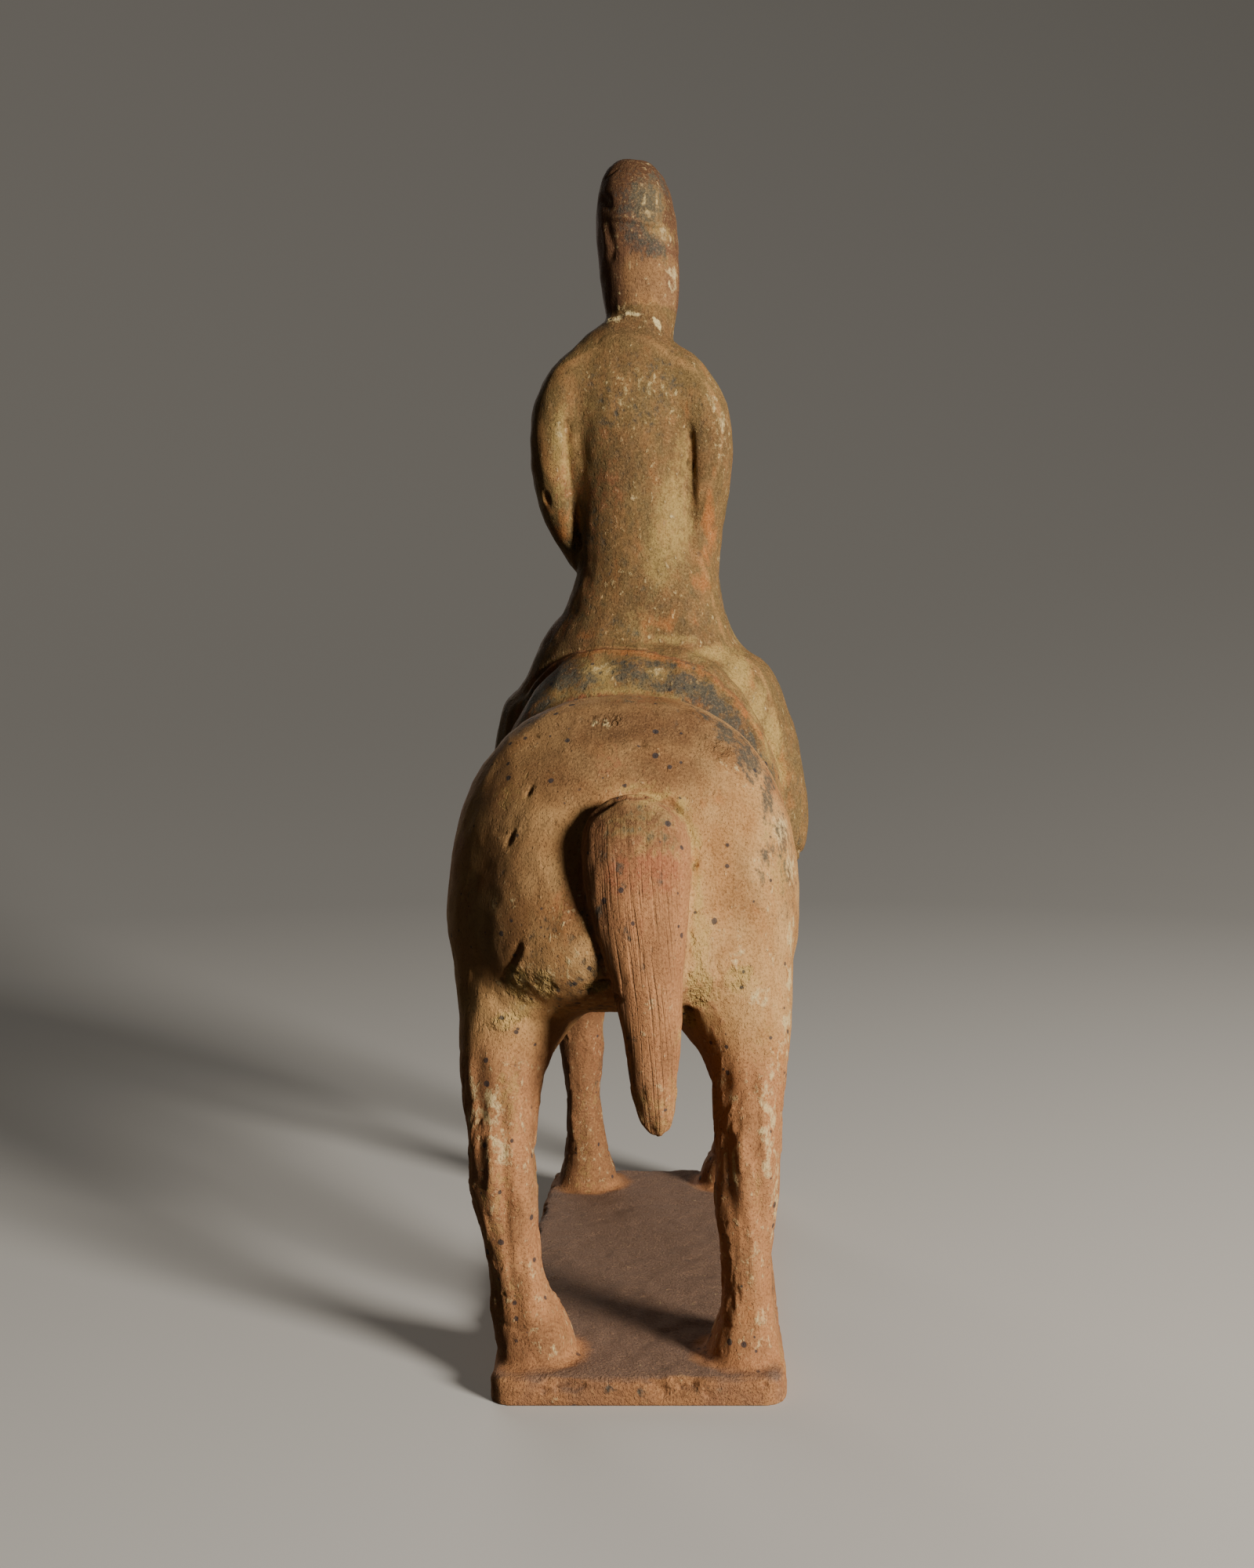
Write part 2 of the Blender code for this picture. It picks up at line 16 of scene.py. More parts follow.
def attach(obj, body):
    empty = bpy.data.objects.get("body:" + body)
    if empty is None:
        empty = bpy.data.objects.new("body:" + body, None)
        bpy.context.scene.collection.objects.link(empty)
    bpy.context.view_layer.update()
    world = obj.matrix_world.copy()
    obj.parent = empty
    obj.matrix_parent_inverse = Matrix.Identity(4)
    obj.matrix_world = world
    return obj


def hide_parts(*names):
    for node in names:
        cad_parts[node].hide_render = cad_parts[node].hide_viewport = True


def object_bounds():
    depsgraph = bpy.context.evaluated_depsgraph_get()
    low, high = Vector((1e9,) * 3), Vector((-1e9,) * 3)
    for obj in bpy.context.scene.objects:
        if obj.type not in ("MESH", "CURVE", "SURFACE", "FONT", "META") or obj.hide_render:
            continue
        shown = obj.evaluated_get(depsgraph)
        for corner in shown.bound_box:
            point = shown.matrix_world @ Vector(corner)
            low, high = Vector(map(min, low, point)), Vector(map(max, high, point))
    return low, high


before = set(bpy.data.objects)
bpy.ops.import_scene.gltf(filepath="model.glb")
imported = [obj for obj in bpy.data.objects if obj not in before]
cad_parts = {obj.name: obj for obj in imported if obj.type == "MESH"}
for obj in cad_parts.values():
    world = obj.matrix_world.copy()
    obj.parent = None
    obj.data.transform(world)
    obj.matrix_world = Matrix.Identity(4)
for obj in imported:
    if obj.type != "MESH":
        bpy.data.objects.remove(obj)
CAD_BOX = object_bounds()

bl_info = {
    "name": "Horse and rider figure",
    "version": (1, 0, 0),
    "blender": (4, 5, 0),
    "location": "3D View > Sidebar > Figure",
    "description": "A fired clay figure of a rider on a standing horse, with its stage",
    "category": "Object",
}

MM = 0.001
NODE = "horse_and_rider"
PIECE = "horse_and_rider_clay"

# Middles in mm that the places on one side are mirrored about
FACE = -4.15
RIDER = -1.0
HORSE = 0.0

# The slab's top and half its width and length in mm
SLAB_TOP = 8.0
SLAB_HALF = (42.8, 101.5)

# Evening out the solid's facets: how many passes, and how each shrinks and then swells
SMOOTHING_PASSES = 22
SHRINK_AND_SWELL = (0.55, -0.57)

MERGE_DISTANCE = 0.01 * MM


# Noise that gives the same value at the same place each time. Each call has a seed of
# its own, the whole number after the size.

def hashed(cell, seed):
    """A repeatable value from 0 to 1 for each whole-number cell."""
    x, y, z = (cell[:, i].astype(np.uint32) for i in range(3))
    mixed = x * np.uint32(73856093) ^ y * np.uint32(19349663) ^ z * np.uint32(83492791)
    mixed = mixed ^ np.uint32(seed * 40503 + 977)
    mixed = (mixed ^ (mixed >> np.uint32(15))) * np.uint32(2246822519)
    mixed = (mixed ^ (mixed >> np.uint32(13))) * np.uint32(3266489917)
    mixed = mixed ^ (mixed >> np.uint32(16))
    return mixed / np.iinfo(np.uint32).max


def noise(points, size, seed):
    """Smooth unevenness from -1 to 1, with lumps about size across."""
    place = points / np.asarray(size, dtype=float)
    cell = np.floor(place).astype(np.int64)
    part = place - cell
    part = part * part * (3 - 2 * part)
    total = np.zeros(len(points))
    for dx in (0, 1):
        for dy in (0, 1):
            for dz in (0, 1):
                corner = np.array((dx, dy, dz))
                weight = np.abs(1 - corner - part).prod(axis=1)
                total += hashed(cell + corner, seed) * weight
    return 2 * total - 1


def layered(points, size, seed, octaves=3):
    """Unevenness of several sizes together."""
    total, strength, whole = np.zeros(len(points)), 1.0, 0.0
    for i in range(octaves):
        total += strength * noise(points, np.asarray(size) / 2 ** i, seed + i)
        whole += strength
        strength *= 0.5
    return total / whole


def nearest_spot(points, size, seed):
    """Distance to the nearest of scattered spots."""
    place = points / size
    cell = np.floor(place).astype(np.int64)
    best = np.full(len(points), np.inf)
    for dx in (-1, 0, 1):
        for dy in (-1, 0, 1):
            for dz in (-1, 0, 1):
                near = cell + np.array((dx, dy, dz))
                spot = near + np.stack([hashed(near, seed + k) for k in range(3)], axis=1)
                best = np.minimum(best, np.linalg.norm(place - spot, axis=1))
    return best * size


def ramp(value, low, high):
    """0 below low, 1 above high, and a smooth rise between; low may be the greater."""
    part = np.clip((value - low) / (high - low), 0.0, 1.0)
    return part * part * (3 - 2 * part)


def between(value, low, high, soft):
    """1 between low and high, fading over soft outside them."""
    return ramp(value, low - soft, low) * ramp(value, high + soft, high)


def groove(gap, wide):
    """The rounded section of a cut: 1 in its middle, fading over its half width."""
    return np.exp(-(gap / wide) ** 2)


def along_line(points, line):
    """Distance to a line of places in 2 or 3 directions, how far along it (0 to 1), and
    in a view the side that the point is on: over 0 is left of the line's way."""
    line = np.asarray(line, dtype=float)
    lengths = np.linalg.norm(np.diff(line, axis=0), axis=1)
    starts = np.concatenate([[0.0], np.cumsum(lengths)])
    best = np.full(len(points), np.inf)
    share = np.zeros(len(points))
    side = np.zeros(len(points))
    for i, (a, b) in enumerate(zip(line[:-1], line[1:])):
        if lengths[i] == 0.0:
            continue
        way = (b - a) / lengths[i]
        along = np.clip((points - a) @ way, 0, lengths[i])
        off = points - a - along[:, None] * way
        gap = np.linalg.norm(off, axis=1)
        closer = gap < best
        best[closer] = gap[closer]
        share[closer] = (starts[i] + along[closer]) / starts[-1]
        if line.shape[1] == 2:
            side[closer] = (way[0] * off[:, 1] - way[1] * off[:, 0])[closer]
    return best, share, side


# Places of the relief in millimetres: where they are only across and up, they are as
# seen from behind

# Leaf-shaped gouges and pits: across, up, half length, half width, turn in degrees, depth
GOUGES = [
    (-33, 173.4, 1.9, 0.7, 62, 0.9),
    (-38, 160, 2.3, 0.8, 66, 1.1),
    (0.2, 187, 1.4, 0.7, -25, 1),
    (-35, 270, 1.9, 0.8, -72, 1.8),
    (13.2, 281.5, 1.8, 0.45, 88, 1.1),
    (15.4, 281.3, 1.9, 0.35, 78, 0.9),
    (-12.6, 383, 2, 0.5, 35, 1),
    (-15.4, 373, 3.4, 1.6, -55, 1.3),
    (22, 193, 1.2, 0.4, 4, 0.7),
    (16.6, 152, 1.9, 0.5, 78, 0.9),
    (-10.5, 119.5, 2.4, 1, 12, 1.6),
    (-6.5, 116.6, 1.8, 0.9, -20, 1.5),
    (-13.6, 117, 1.5, 0.7, 0, 1.1),
    (14.4, 108, 2.2, 1.5, -50, 2.2),
    (15.4, 104.6, 1.2, 0.9, -40, 1.5),
    (12.5, 5.5, 1.2, 0.9, 0, 1.2),
    (-36.5, 106, 2, 0.8, 35, 0.9),
    (22.5, 183, 1.3, 0.5, 20, 0.6),
]

# Cracks and knife cuts (over 0), and edges that stand out (under 0): points across
# and up, half width, depth
CRACKS = [
    (((-33.6, 131.5), (-35, 127.5), (-37.2, 123.5), (-39.6, 119), (-40.6, 117.6)), 0.9, 0.8),
    (((-34.6, 130.6), (-36.4, 125.4), (-38.6, 121)), 1.6, 0.4),
    (((-31.8, 130.5), (-33.2, 126.4), (-35.6, 121.8)), 1.5, -0.5),
    (((23, 126.8), (22.6, 123.4), (23, 121), (24.6, 119.6)), 0.7, 0.8),
    (((14, 138), (19, 140.5), (25, 139)), 0.5, 0.35),
    (((14.5, 137), (18, 135), (20.5, 131)), 0.5, 0.35),
    (((-44, 161), (-38.8, 161.4)), 0.45, 0.3),
    (((-35.6, 161.8), (-27, 164)), 0.4, 0.25),
    (((-27.5, 254), (-24, 258)), 0.5, 0.4),
    (((-25.4, 259), (-26.6, 251), (-25.4, 246)), 0.8, -0.5),
    (((-14.6, 366.4), (-9.5, 366.2), (-4.6, 364.6), (1, 363.6), (7, 364)), 0.9, -0.45),
    (((-14, 364.9), (-4.6, 363.1), (7, 362.6)), 0.7, 0.4),
    (((-17.2, 366), (-15.6, 362), (-14.6, 357), (-15.4, 352)), 1.2, -0.35),
    (((-14.4, 366), (-13.4, 361), (-12, 356), (-13.4, 351)), 0.9, 0.4),
    (((-17, 322.6), (-9, 323.6), (0, 323), (10, 319.6)), 2.2, -0.35),
    (((13.6, 297), (14.6, 285), (14.8, 268), (15.4, 252), (15.6, 242)), 1.5, 1.3),
    (((-27.6, 298), (-26.9, 285), (-25.9, 270), (-25.2, 258), (-24.4, 249)), 1.5, 2.1),
    (((-44.6, 114), (-38, 109), (-31, 105.8), (-24, 105)), 2, 0.5),
    (((36.4, 96), (35.8, 84), (35.4, 74), (34.4, 68)), 1.6, -0.7),
    (((-49.4, 96), (-48, 78), (-46.6, 62)), 1.4, -0.5),
    (((-34.2, 94), (-35.8, 80), (-36.6, 68)), 1.2, -0.4),
    (((30.5, 80), (29.6, 66), (31, 56), (32.6, 44), (33.2, 30), (34.2, 18)), 1.5, -0.5),
    (((34.8, 82), (34.2, 66), (35.4, 54), (36.4, 40), (37, 24)), 1.2, 0.5),
    (((26.6, 76), (26, 62), (27.4, 52), (28.4, 38), (28, 22)), 1.2, 0.25),
    (((-43, 88), (-42.6, 74), (-42, 60), (-41.4, 44)), 1.5, -0.7),
    (((-39.6, 86), (-39, 72), (-38.4, 58), (-37.8, 44), (-37, 28)), 1.2, 0.6),
    (((-34, 62), (-33.4, 50), (-33, 38), (-31, 26)), 1.3, -0.5),
]

# Torn and crumbly clay: across, up, half width and half height
TORN = [
    (-35, 119, 7, 8), (-27, 118, 5, 6), (-12, 118, 6, 3), (18, 117, 5, 10), (17, 131, 3, 8),
    (29, 119, 6, 5), (14, 107, 3, 4), (-39, 106, 6, 4), (22, 186, 6, 4), (-8, 194, 7, 3),
]

# The ledge where the robe's hem and the saddle's roll lie on the saddle cloth
HEM = [
    (-44, 200), (-39.5, 207.5), (-33, 213.6), (-26, 217), (-14, 218.8), (0, 217.8),
    (8.5, 215.2), (17.3, 212.8), (23.3, 208.4), (29.3, 203.2), (36.3, 194.6),
    (42.3, 185), (46.5, 174), (49, 160),
]

# The tail's middle line, half width and depth back, from its root to the tip
TAIL = [
    (-0.8, -91.5, 171, 6.5, 6), (-0.9, -92.6, 168, 11.4, 7.8), (-0.9, -93.2, 165, 14.2, 9.2),
    (-0.8, -94.8, 158, 16, 10.2), (-0.4, -97, 149, 15.8, 10.6), (0.5, -99.2, 139, 14.2, 10.4),
    (1.9, -100.8, 127, 11.9, 9.2), (3.4, -102, 114, 9.4, 8), (4.6, -102, 98, 7.3, 6.8),
    (5.2, -101.5, 86, 5.6, 5.4), (5.4, -101.2, 80, 4.2, 4), (5.4, -101, 77, 2, 2),
]

# The crease over the tail's root, where it lies on the rump
TAIL_ROOT = [(-12.6, 168), (-8.6, 171.2), (-3, 172.9), (2, 172.9), (7.6, 171.4), (11.6, 168)]

# Lines drawn in the clay on every side: points in mm, half width, depth (under 0 stands
# out), and the middle that they are mirrored about, if any
STROKES = [
    # the rider's brow, eyelids and the hollows round them, then mouth and chin
    ([(-12.6, 18, 362.6), (-9.2, 20, 364.2), (-6, 20.6, 363)], 1, -0.8, FACE),
    ([(-12.8, 18, 360.6), (-9.4, 19.8, 361.6), (-6.4, 20.4, 360.4)], 0.9, 0.8, FACE),
    ([(-12.2, 18.2, 358.2), (-9.2, 20.6, 358.9), (-6.5, 20.4, 358.2)], 0.6, 0.7, FACE),
    ([(-12, 18.2, 356.2), (-9.4, 19.8, 355.6), (-6.8, 20.4, 356)], 0.9, 0.55, FACE),
    ([(-5.6, 21, 348.2), (-4.1, 21.4, 348), (-2.7, 21, 348.2)], 0.7, 0.5, None),
    ([(-8.2, 20.4, 344.5), (-6, 21.4, 344.3), (-4.1, 21.6, 344.7), (-2.2, 21.4, 344.3),
      (-0.1, 20.4, 344.5)], 0.6, 0.9, None),
    ([(-7, 21, 349.4), (-8.8, 20, 346.2)], 0.8, 0.4, FACE),
    ([(-6.6, 20.2, 341.2), (-4.1, 20.6, 340.9), (-1.6, 20.2, 341.2)], 0.8, 0.6, None),
    # folds of the hood beside the face, down to the shoulders
    ([(-17.2, 12, 360), (-16.4, 12.6, 350), (-14.2, 12, 341), (-11, 12, 335)],
     0.9, 0.6, FACE),
    ([(-18.6, 6, 358), (-17.6, 7.4, 346), (-15, 9, 336)], 1, 0.5, FACE),
    # lapels that cross on the chest, and the belt's two edges
    ([(-15, 8, 328), (-9, 14.4, 320), (-3.5, 16.6, 310), (3, 17, 298),
      (8, 16, 288), (10, 15, 280)], 0.8, 0.9, None),
    ([(-17.6, 7.6, 325), (-11.4, 14, 316.4), (-6, 16.6, 306), (0.4, 17, 294),
      (5, 16.6, 284)], 0.8, 0.8, None),
    ([(7.5, 8, 328), (1.6, 14.4, 319.4), (-2.4, 16.4, 312.4)], 0.8, 0.9, None),
    ([(10, 7.6, 325), (4.4, 14, 315.6), (0.6, 16.6, 307.6)], 0.8, 0.8, None),
    # fingers of the fists, and the cuffs behind them
    ([(-13.6, 43.6, 260.6), (-9.5, 46, 260.6), (-4.5, 47.2, 260.6)], 0.6, 0.9, RIDER),
    ([(-13.6, 43.8, 264), (-9.5, 46.4, 264), (-4.5, 47.6, 264)], 0.6, 0.9, RIDER),
    ([(-13.6, 43.6, 267.4), (-9.5, 46, 267.4), (-4.5, 47.2, 267.4)], 0.6, 0.9, RIDER),
    ([(-18.5, 42.5, 258), (-18.8, 44, 264), (-17, 42, 270), (-13.5, 36, 272.4),
      (-11, 29.5, 270)], 0.7, 0.8, RIDER),
    # folds at the elbows' bend and on the robe's front below the belt
    ([(-33, 15, 272), (-31, 20, 266), (-28.6, 25, 262)], 0.9, 0.6, RIDER),
    ([(-30, 17.5, 277), (-27, 22.5, 271), (-23.6, 27, 267.6)], 0.9, 0.5, RIDER),
    ([(-6, 27, 222), (-12, 33, 208), (-22, 36.5, 190), (-31, 36, 172)],
     1.3, 0.8, RIDER),
    ([(-12, 22, 232), (-22, 28, 216), (-33, 31, 197), (-42, 31, 178)],
     1.3, 0.7, RIDER),
    ([(-18, 14, 240), (-30, 20, 222), (-42, 23, 202), (-50, 24, 182)],
     1.2, 0.6, RIDER),
    # the robe's lower edge over the saddle, and the saddle cloth's bound edge
    ([(-50, -14, 152), (-55, -4, 148), (-56.5, 8, 146), (-55, 20, 147),
      (-50, 30, 151)], 1.1, 0.9, RIDER),
    ([(-48, -41, 172), (-50.5, -38.5, 150), (-50, -38, 124), (-48.5, -37, 112)],
     0.9, 0.7, -1.5),
    # boots: the sole's edge and the top of the shaft
    ([(-53, 12, 111.6), (-53.8, 24, 110.4), (-53.6, 36, 109.4), (-50.6, 47, 109.6)],
     0.6, 0.6, RIDER),
    ([(-52, 10.6, 130.6), (-53.2, 18, 131.4), (-51.4, 26.4, 130.8)], 0.8, 0.8, RIDER),
    # the horse's eyes, nostrils, mouth, jaw and cheek
    ([(-16.4, 119.6, 253.6), (-18.2, 124, 256.2), (-16.6, 130, 251.6)], 0.8, 0.9, HORSE),
    ([(-16, 119.8, 252), (-17.8, 124.6, 248.8), (-16.4, 130, 250.4)], 0.8, 0.8, HORSE),
    ([(-9.2, 163, 211.6), (-8.2, 165.6, 212.6), (-6.8, 167, 210.4)], 0.8, -0.7, HORSE),
    ([(-10.8, 150, 207), (-10, 157, 204), (-8, 164, 200.6), (-4.6, 168.4, 198.4),
      (0, 169.6, 197.6)], 0.55, 0.9, HORSE),
    ([(-12.4, 112, 238), (-13.6, 120, 226), (-12, 131, 220), (-9.6, 141, 213)],
     1.6, 0.7, HORSE),
    ([(-10, 136, 240), (-8.6, 146, 228), (-7.4, 154, 218)], 1.4, -0.5, HORSE),
    ([(-4.4, 118, 266), (-7.4, 127, 254), (-7.6, 136, 244)], 1, 0.35, HORSE),
    # the breast's middle furrow and the crease behind the elbows
    ([(0.4, 104, 160), (0.6, 112, 146), (0.6, 110, 134)], 2.2, 1.2, None),
    ([(-43, 52, 150), (-43.5, 50, 132), (-38, 50, 112)], 2, 0.7, 0.6),
    # hoof tops, in front and behind
    ([(-42.6, -84, 20.5), (-38, -74, 20.5), (-31, -71.5, 20.5), (-24.4, -76, 20.5),
      (-22.6, -86, 19.5), (-28, -93.5, 18.5), (-36, -93.5, 18.5), (-42.6, -84, 20.5)],
     0.8, 0.45, -0.6),
    ([(-37.6, 84, 21), (-34, 93.5, 20.5), (-27.6, 95, 20), (-21, 92.5, 20.5),
      (-17.8, 84, 21), (-21, 75, 21.5), (-28, 73, 21.5), (-35, 75.6, 21.5),
      (-37.6, 84, 21)], 0.8, 0.45, 0.8),
]

# The rider's shin and boot from the side: along, up and half width
SHIN = [(24, 164, 13), (22, 148, 11), (19, 134, 9.2), (18, 123, 8.2), (18, 114, 7.4)]
BOOT = [(10.5, 115, 6), (24, 114, 7.4), (36, 112.6, 6), (47, 112, 4.6)]

# The robe's skirt over the rider's legs: up, and its back and front edges along
SKIRT = [(140, -5, 26), (143, -8, 29), (147, -11.5, 33), (159, -15.5, 37.5),
         (176, -20, 40.5), (192, -24, 40), (204, -25.5, 35.5), (217, -25, 29)]

# Middles of the hooves: across and along
HOOVES = [(-31, -83), (31, -83), (-27, 83), (28.6, 83)]

# Pits pressed in the clay on every side: place in mm, radius, depth, and the middle that
# they are mirrored about
PITS = [
    ((-9, 165, 209.6), 1.6, 2.2, HORSE),
    ((-5.6, 22.6, 348.6), 0.55, 0.7, FACE),
]

# Lumps put on before the surface is joined: place, radii, turn in degrees, and the
# middle that they are mirrored about
LUMPS = [
    ((-9.3, 18.3, 358.8), (3, 2.6, 1.9), 0, FACE),
    ((-4.1, 19.7, 345.9), (3.9, 2.1, 1.1), 0, None),
    ((-4.1, 19.5, 343.2), (3.3, 2, 1.3), 0, None),
    ((-4.1, 17.4, 338.6), (3.6, 3.2, 2.4), 0, None),
    ((-6.3, 20.9, 350.2), (1.7, 1.8, 1.4), 0, FACE),
    ((-4.15, 19.6, 358), (1.7, 2.6, 5), 0, None),
    ((-10.4, 16.5, 351), (4.2, 3.8, 4.8), 0, FACE),
    ((-15.6, 125, 252.4), (2.8, 4.6, 3), 30, HORSE),
    ((-7.6, 163.4, 209.6), (3.4, 3.8, 3.2), 30, HORSE),
    ((-2.4, 165, 198.6), (4.6, 3.6, 2.2), 40, HORSE),
    ((-11.6, 39.5, 269.4), (2, 4.6, 2.2), -10, RIDER),
]

# Line of the mane's crest from the withers to the forelock: along and up
CREST = [(62, 208), (78, 226), (92, 246), (104, 262), (114, 272), (122, 268), (130, 256)]


def tail_place(points):
    """How much each point is on the tail, and its place round the tail in mm."""
    line = np.array(TAIL)[::-1]
    middle_x, middle_y, half, back = (np.interp(points[:, 2], line[:, 2], line[:, i])
                                      for i in (0, 1, 3, 4))
    off_x = points[:, 0] - middle_x
    off_y = points[:, 1] - middle_y
    reach = np.hypot(off_x / half, np.minimum(off_y, 0.0) / back)
    on = ramp((reach - 1.0) * half, 2.2, 0.9) * between(points[:, 2], 76.0, 172.5, 1.5)
    on *= ramp(points[:, 1], middle_y + 5.0, middle_y + 1.0)
    around = np.arctan2(off_x, -np.minimum(off_y, 0.0) * half / back) * np.maximum(half, 4.0)
    return on, around


def torn_clay(points):
    """Where the clay is torn and crumbly, from 0 to 1."""
    x, _, z = points.T
    total = np.zeros(len(x))
    for across, up, wide, high in TORN:
        total = np.maximum(total, np.exp(-((x - across) / wide) ** 2 - ((z - up) / high) ** 2))
    return ramp(total + 0.3 * noise(points, 4.5, 71), 0.4, 0.8)


def neck_crumbs(points):
    """The line of pale crumbs round the rider's neck, from 0 to 1."""
    x, y, z = points.T
    level = 333.4 - 0.036 * (x + 6.0) ** 2
    thick = 0.95 + 0.45 * noise(points, 4.0, 79)
    near = np.exp(-((z - level + 1.1 * noise(points, 3.6, 73)) / thick) ** 2)
    broken = ramp(noise(points, 2.2, 77), -0.5, -0.1)
    return near * broken * between(x, -14.0, 3.5, 1.5) * ramp(y, 4.0, -1.0)


def slab_rim(points):
    """Nearness to the slab's outer edge, from 0 to 1."""
    half_x, half_y = SLAB_HALF
    gap = np.minimum(half_x - np.abs(points[:, 0]), half_y - np.abs(points[:, 1]))
    return ramp(gap, 3.4, 1.0)


def drawn(points, places, reach):
    """The points near enough to a line or pit for it to matter."""
    places = np.asarray(places, dtype=float)
    return np.all((points > places.min(axis=0) - reach)
                  & (points < places.max(axis=0) + reach), axis=1)


def laid(points, places):
    """A line in steps of about a millimetre, each moved to the clay's surface."""
    places = np.asarray(places, dtype=float)
    near = points[drawn(points, places, 6.0)]
    steps = []
    for a, b in zip(places[:-1], places[1:]):
        count = max(1, int(np.linalg.norm(b - a) / 1.3))
        steps += [a + (b - a) * i / count for i in range(count)]
    steps.append(places[-1])
    line = np.array([near[np.argmin(((near - step) ** 2).sum(axis=1))] for step in steps])
    for _ in range(2 if len(line) > 2 else 0):
        line[1:-1] = (line[:-2] + 2 * line[1:-1] + line[2:]) / 4
    return line


def within_limb(points, line):
    """How far inside a limb's outline each point is, seen from the side."""
    line = np.array(line)
    gap, share, _ = along_line(points[:, 1:], line[:, :2])
    lengths = np.linalg.norm(np.diff(line[:, :2], axis=0), axis=1)
    places = np.concatenate([[0.0], np.cumsum(lengths)]) / lengths.sum()
    return np.interp(share, places, line[:, 2]) - gap


def both_sides(places, middle):
    """The places, and where a middle is given, also their mirror images about it."""
    places = np.atleast_2d(np.asarray(places, dtype=float))
    if middle is None:
        return [places]
    return [places, places * (-1, 1, 1) + (2 * middle, 0, 0)]


def relief(points, normals, sizes):
    """How far the clay stands out at each point, in millimetres."""
    x, y, z = points.T
    view = points[:, [0, 2]]
    behind = ramp(-normals[:, 1], 0.0, 0.4)
    face = between(z, 336.0, 366.0, 2.0) * ramp(y, 10.0, 14.0) * (np.abs(x + 4.1) < 14)

    # hand-pressed unevenness, broad and fine, less of it on the face and the slab
    raised = 0.42 * layered(points, 15.0, 11, 2) + 0.16 * noise(points, 4.2, 17)
    raised += 0.09 * noise(points * (1.0, 1.0, 0.3), 1.9, 19)
    raised *= 1 - 0.85 * face
    raised[z < SLAB_TOP + 0.3] *= 0.7

    # gouges with a burr along one side, cracks, drawn lines and pits
    for across, up, long_way, wide, turn, depth in GOUGES:
        c, s = cos(radians(turn)), sin(radians(turn))
        u = ((x - across) * c + (z - up) * s) / long_way
        v = (-(x - across) * s + (z - up) * c) / wide
        raised -= depth * behind * np.exp(-(u * u + v * v))
        raised += 0.2 * depth * behind * np.exp(-((u - 0.3) ** 2 + (v + 1.9) ** 2))
    for line, wide, depth in CRACKS:
        gap, share, _ = along_line(view, line)
        raised -= depth * behind * groove(gap, wide) * between(share, 0.12, 0.88, 0.12)
    for line, wide, depth, middle in STROKES:
        for places in both_sides(line, middle):
            places = laid(points, places)
            near = drawn(points, places, 3 * wide)
            gap, share, _ = along_line(points[near], places)
            raised[near] -= depth * groove(gap, wide) * between(share, 0.08, 0.92, 0.08)
    for place, radius, depth, middle in PITS:
        for places in both_sides(place, middle):
            near = drawn(points, places, 3 * radius)
            gap = np.linalg.norm(points[near] - laid(points, places)[0], axis=1)
            raised[near] -= depth * groove(gap, radius)

    # the crease round the rider's shins and boots
    outer = ramp(np.abs(x - RIDER), 42.0, 45.0)
    for limb, low, high in ((SHIN, 118.0, 146.0), (BOOT, 104.0, 121.0)):
        inside = within_limb(points, limb)
        raised -= 0.9 * outer * between(z, low, high, 2.0) * groove(inside + 0.7, 0.9)

    # the hem's ledge: a crease with a rounded lip under it
    gap, share, side = along_line(view, HEM)
    near = behind * between(y, -50.0, -8.0, 5.0) * between(share, 0.06, 0.94, 0.06)
    raised -= sizes.hem_depth / MM * near * groove(side, 0.8) * (gap < 4)
    raised += 0.75 * sizes.hem_depth / MM * near * groove(side + 1.9, 1.0) * (gap < 5)

    # the tail's hair: coarse short strokes on the dome and long fine ones below, worn in
    # places, and a crease down both its edges and over its root
    on, around = tail_place(points)
    spacing = sizes.stroke_spacing / MM
    lines = np.stack([around / spacing, z / 24.0, np.zeros(len(z))], axis=1)
    lines[:, 0] += 0.5 * noise(points, 9.0, 23)
    fine = noise(lines, 1.0, 29)
    lines[:, 1] = z / 5.0
    coarse = noise(lines * (0.55, 1.0, 1.0), 1.0, 31)
    dome = ramp(z, 148.0, 156.0)
    strokes = fine * (1 - dome) + 1.1 * coarse * dome
    worn = 0.45 + 0.4 * ramp(noise(points, 14.0, 37), -0.4, 0.3)
    worn *= 0.6 + 0.4 * ramp(z, 108.0, 126.0)
    raised += on * worn * (-0.2 + strokes) * sizes.stroke_depth / MM
    line = np.array(TAIL)
    for way, wide, depth in ((-1, 0.9, 0.9), (1, 0.8, 0.6)):
        edge = np.stack([line[:10, 0] + way * (line[:10, 3] + 0.6), line[:10, 2]], axis=1)
        gap, share, _ = along_line(view, edge)
        raised -= depth * behind * groove(gap, wide) * ramp(share, 0.75, 0.45)
    gap, _, _ = along_line(view, TAIL_ROOT)
    raised -= 0.8 * behind * groove(gap, 0.8)

    # the mane's strokes across the crest
    gap, share, _ = along_line(points[:, 1:], CREST)
    mane = ramp(gap, 7.5, 4.0) * ramp(np.abs(x), 5.0, 4.0)
    raised += mane * 0.4 * noise(np.stack([share * 62.0, x / 9.0, 0.0 * x], axis=1), 1.0, 43)

    # torn clay at the buttocks' lower ends, and crumbs round the neck
    torn = torn_clay(points) * behind
    raised += torn * (0.6 * layered(points, 3.2, 41) - 0.15)
    crumbs = neck_crumbs(points)
    on_neck = crumbs > 0.02
    lumps = nearest_spot(points[on_neck], 1.5, 47)
    raised[on_neck] += crumbs[on_neck] * (0.95 - 0.8 * lumps)

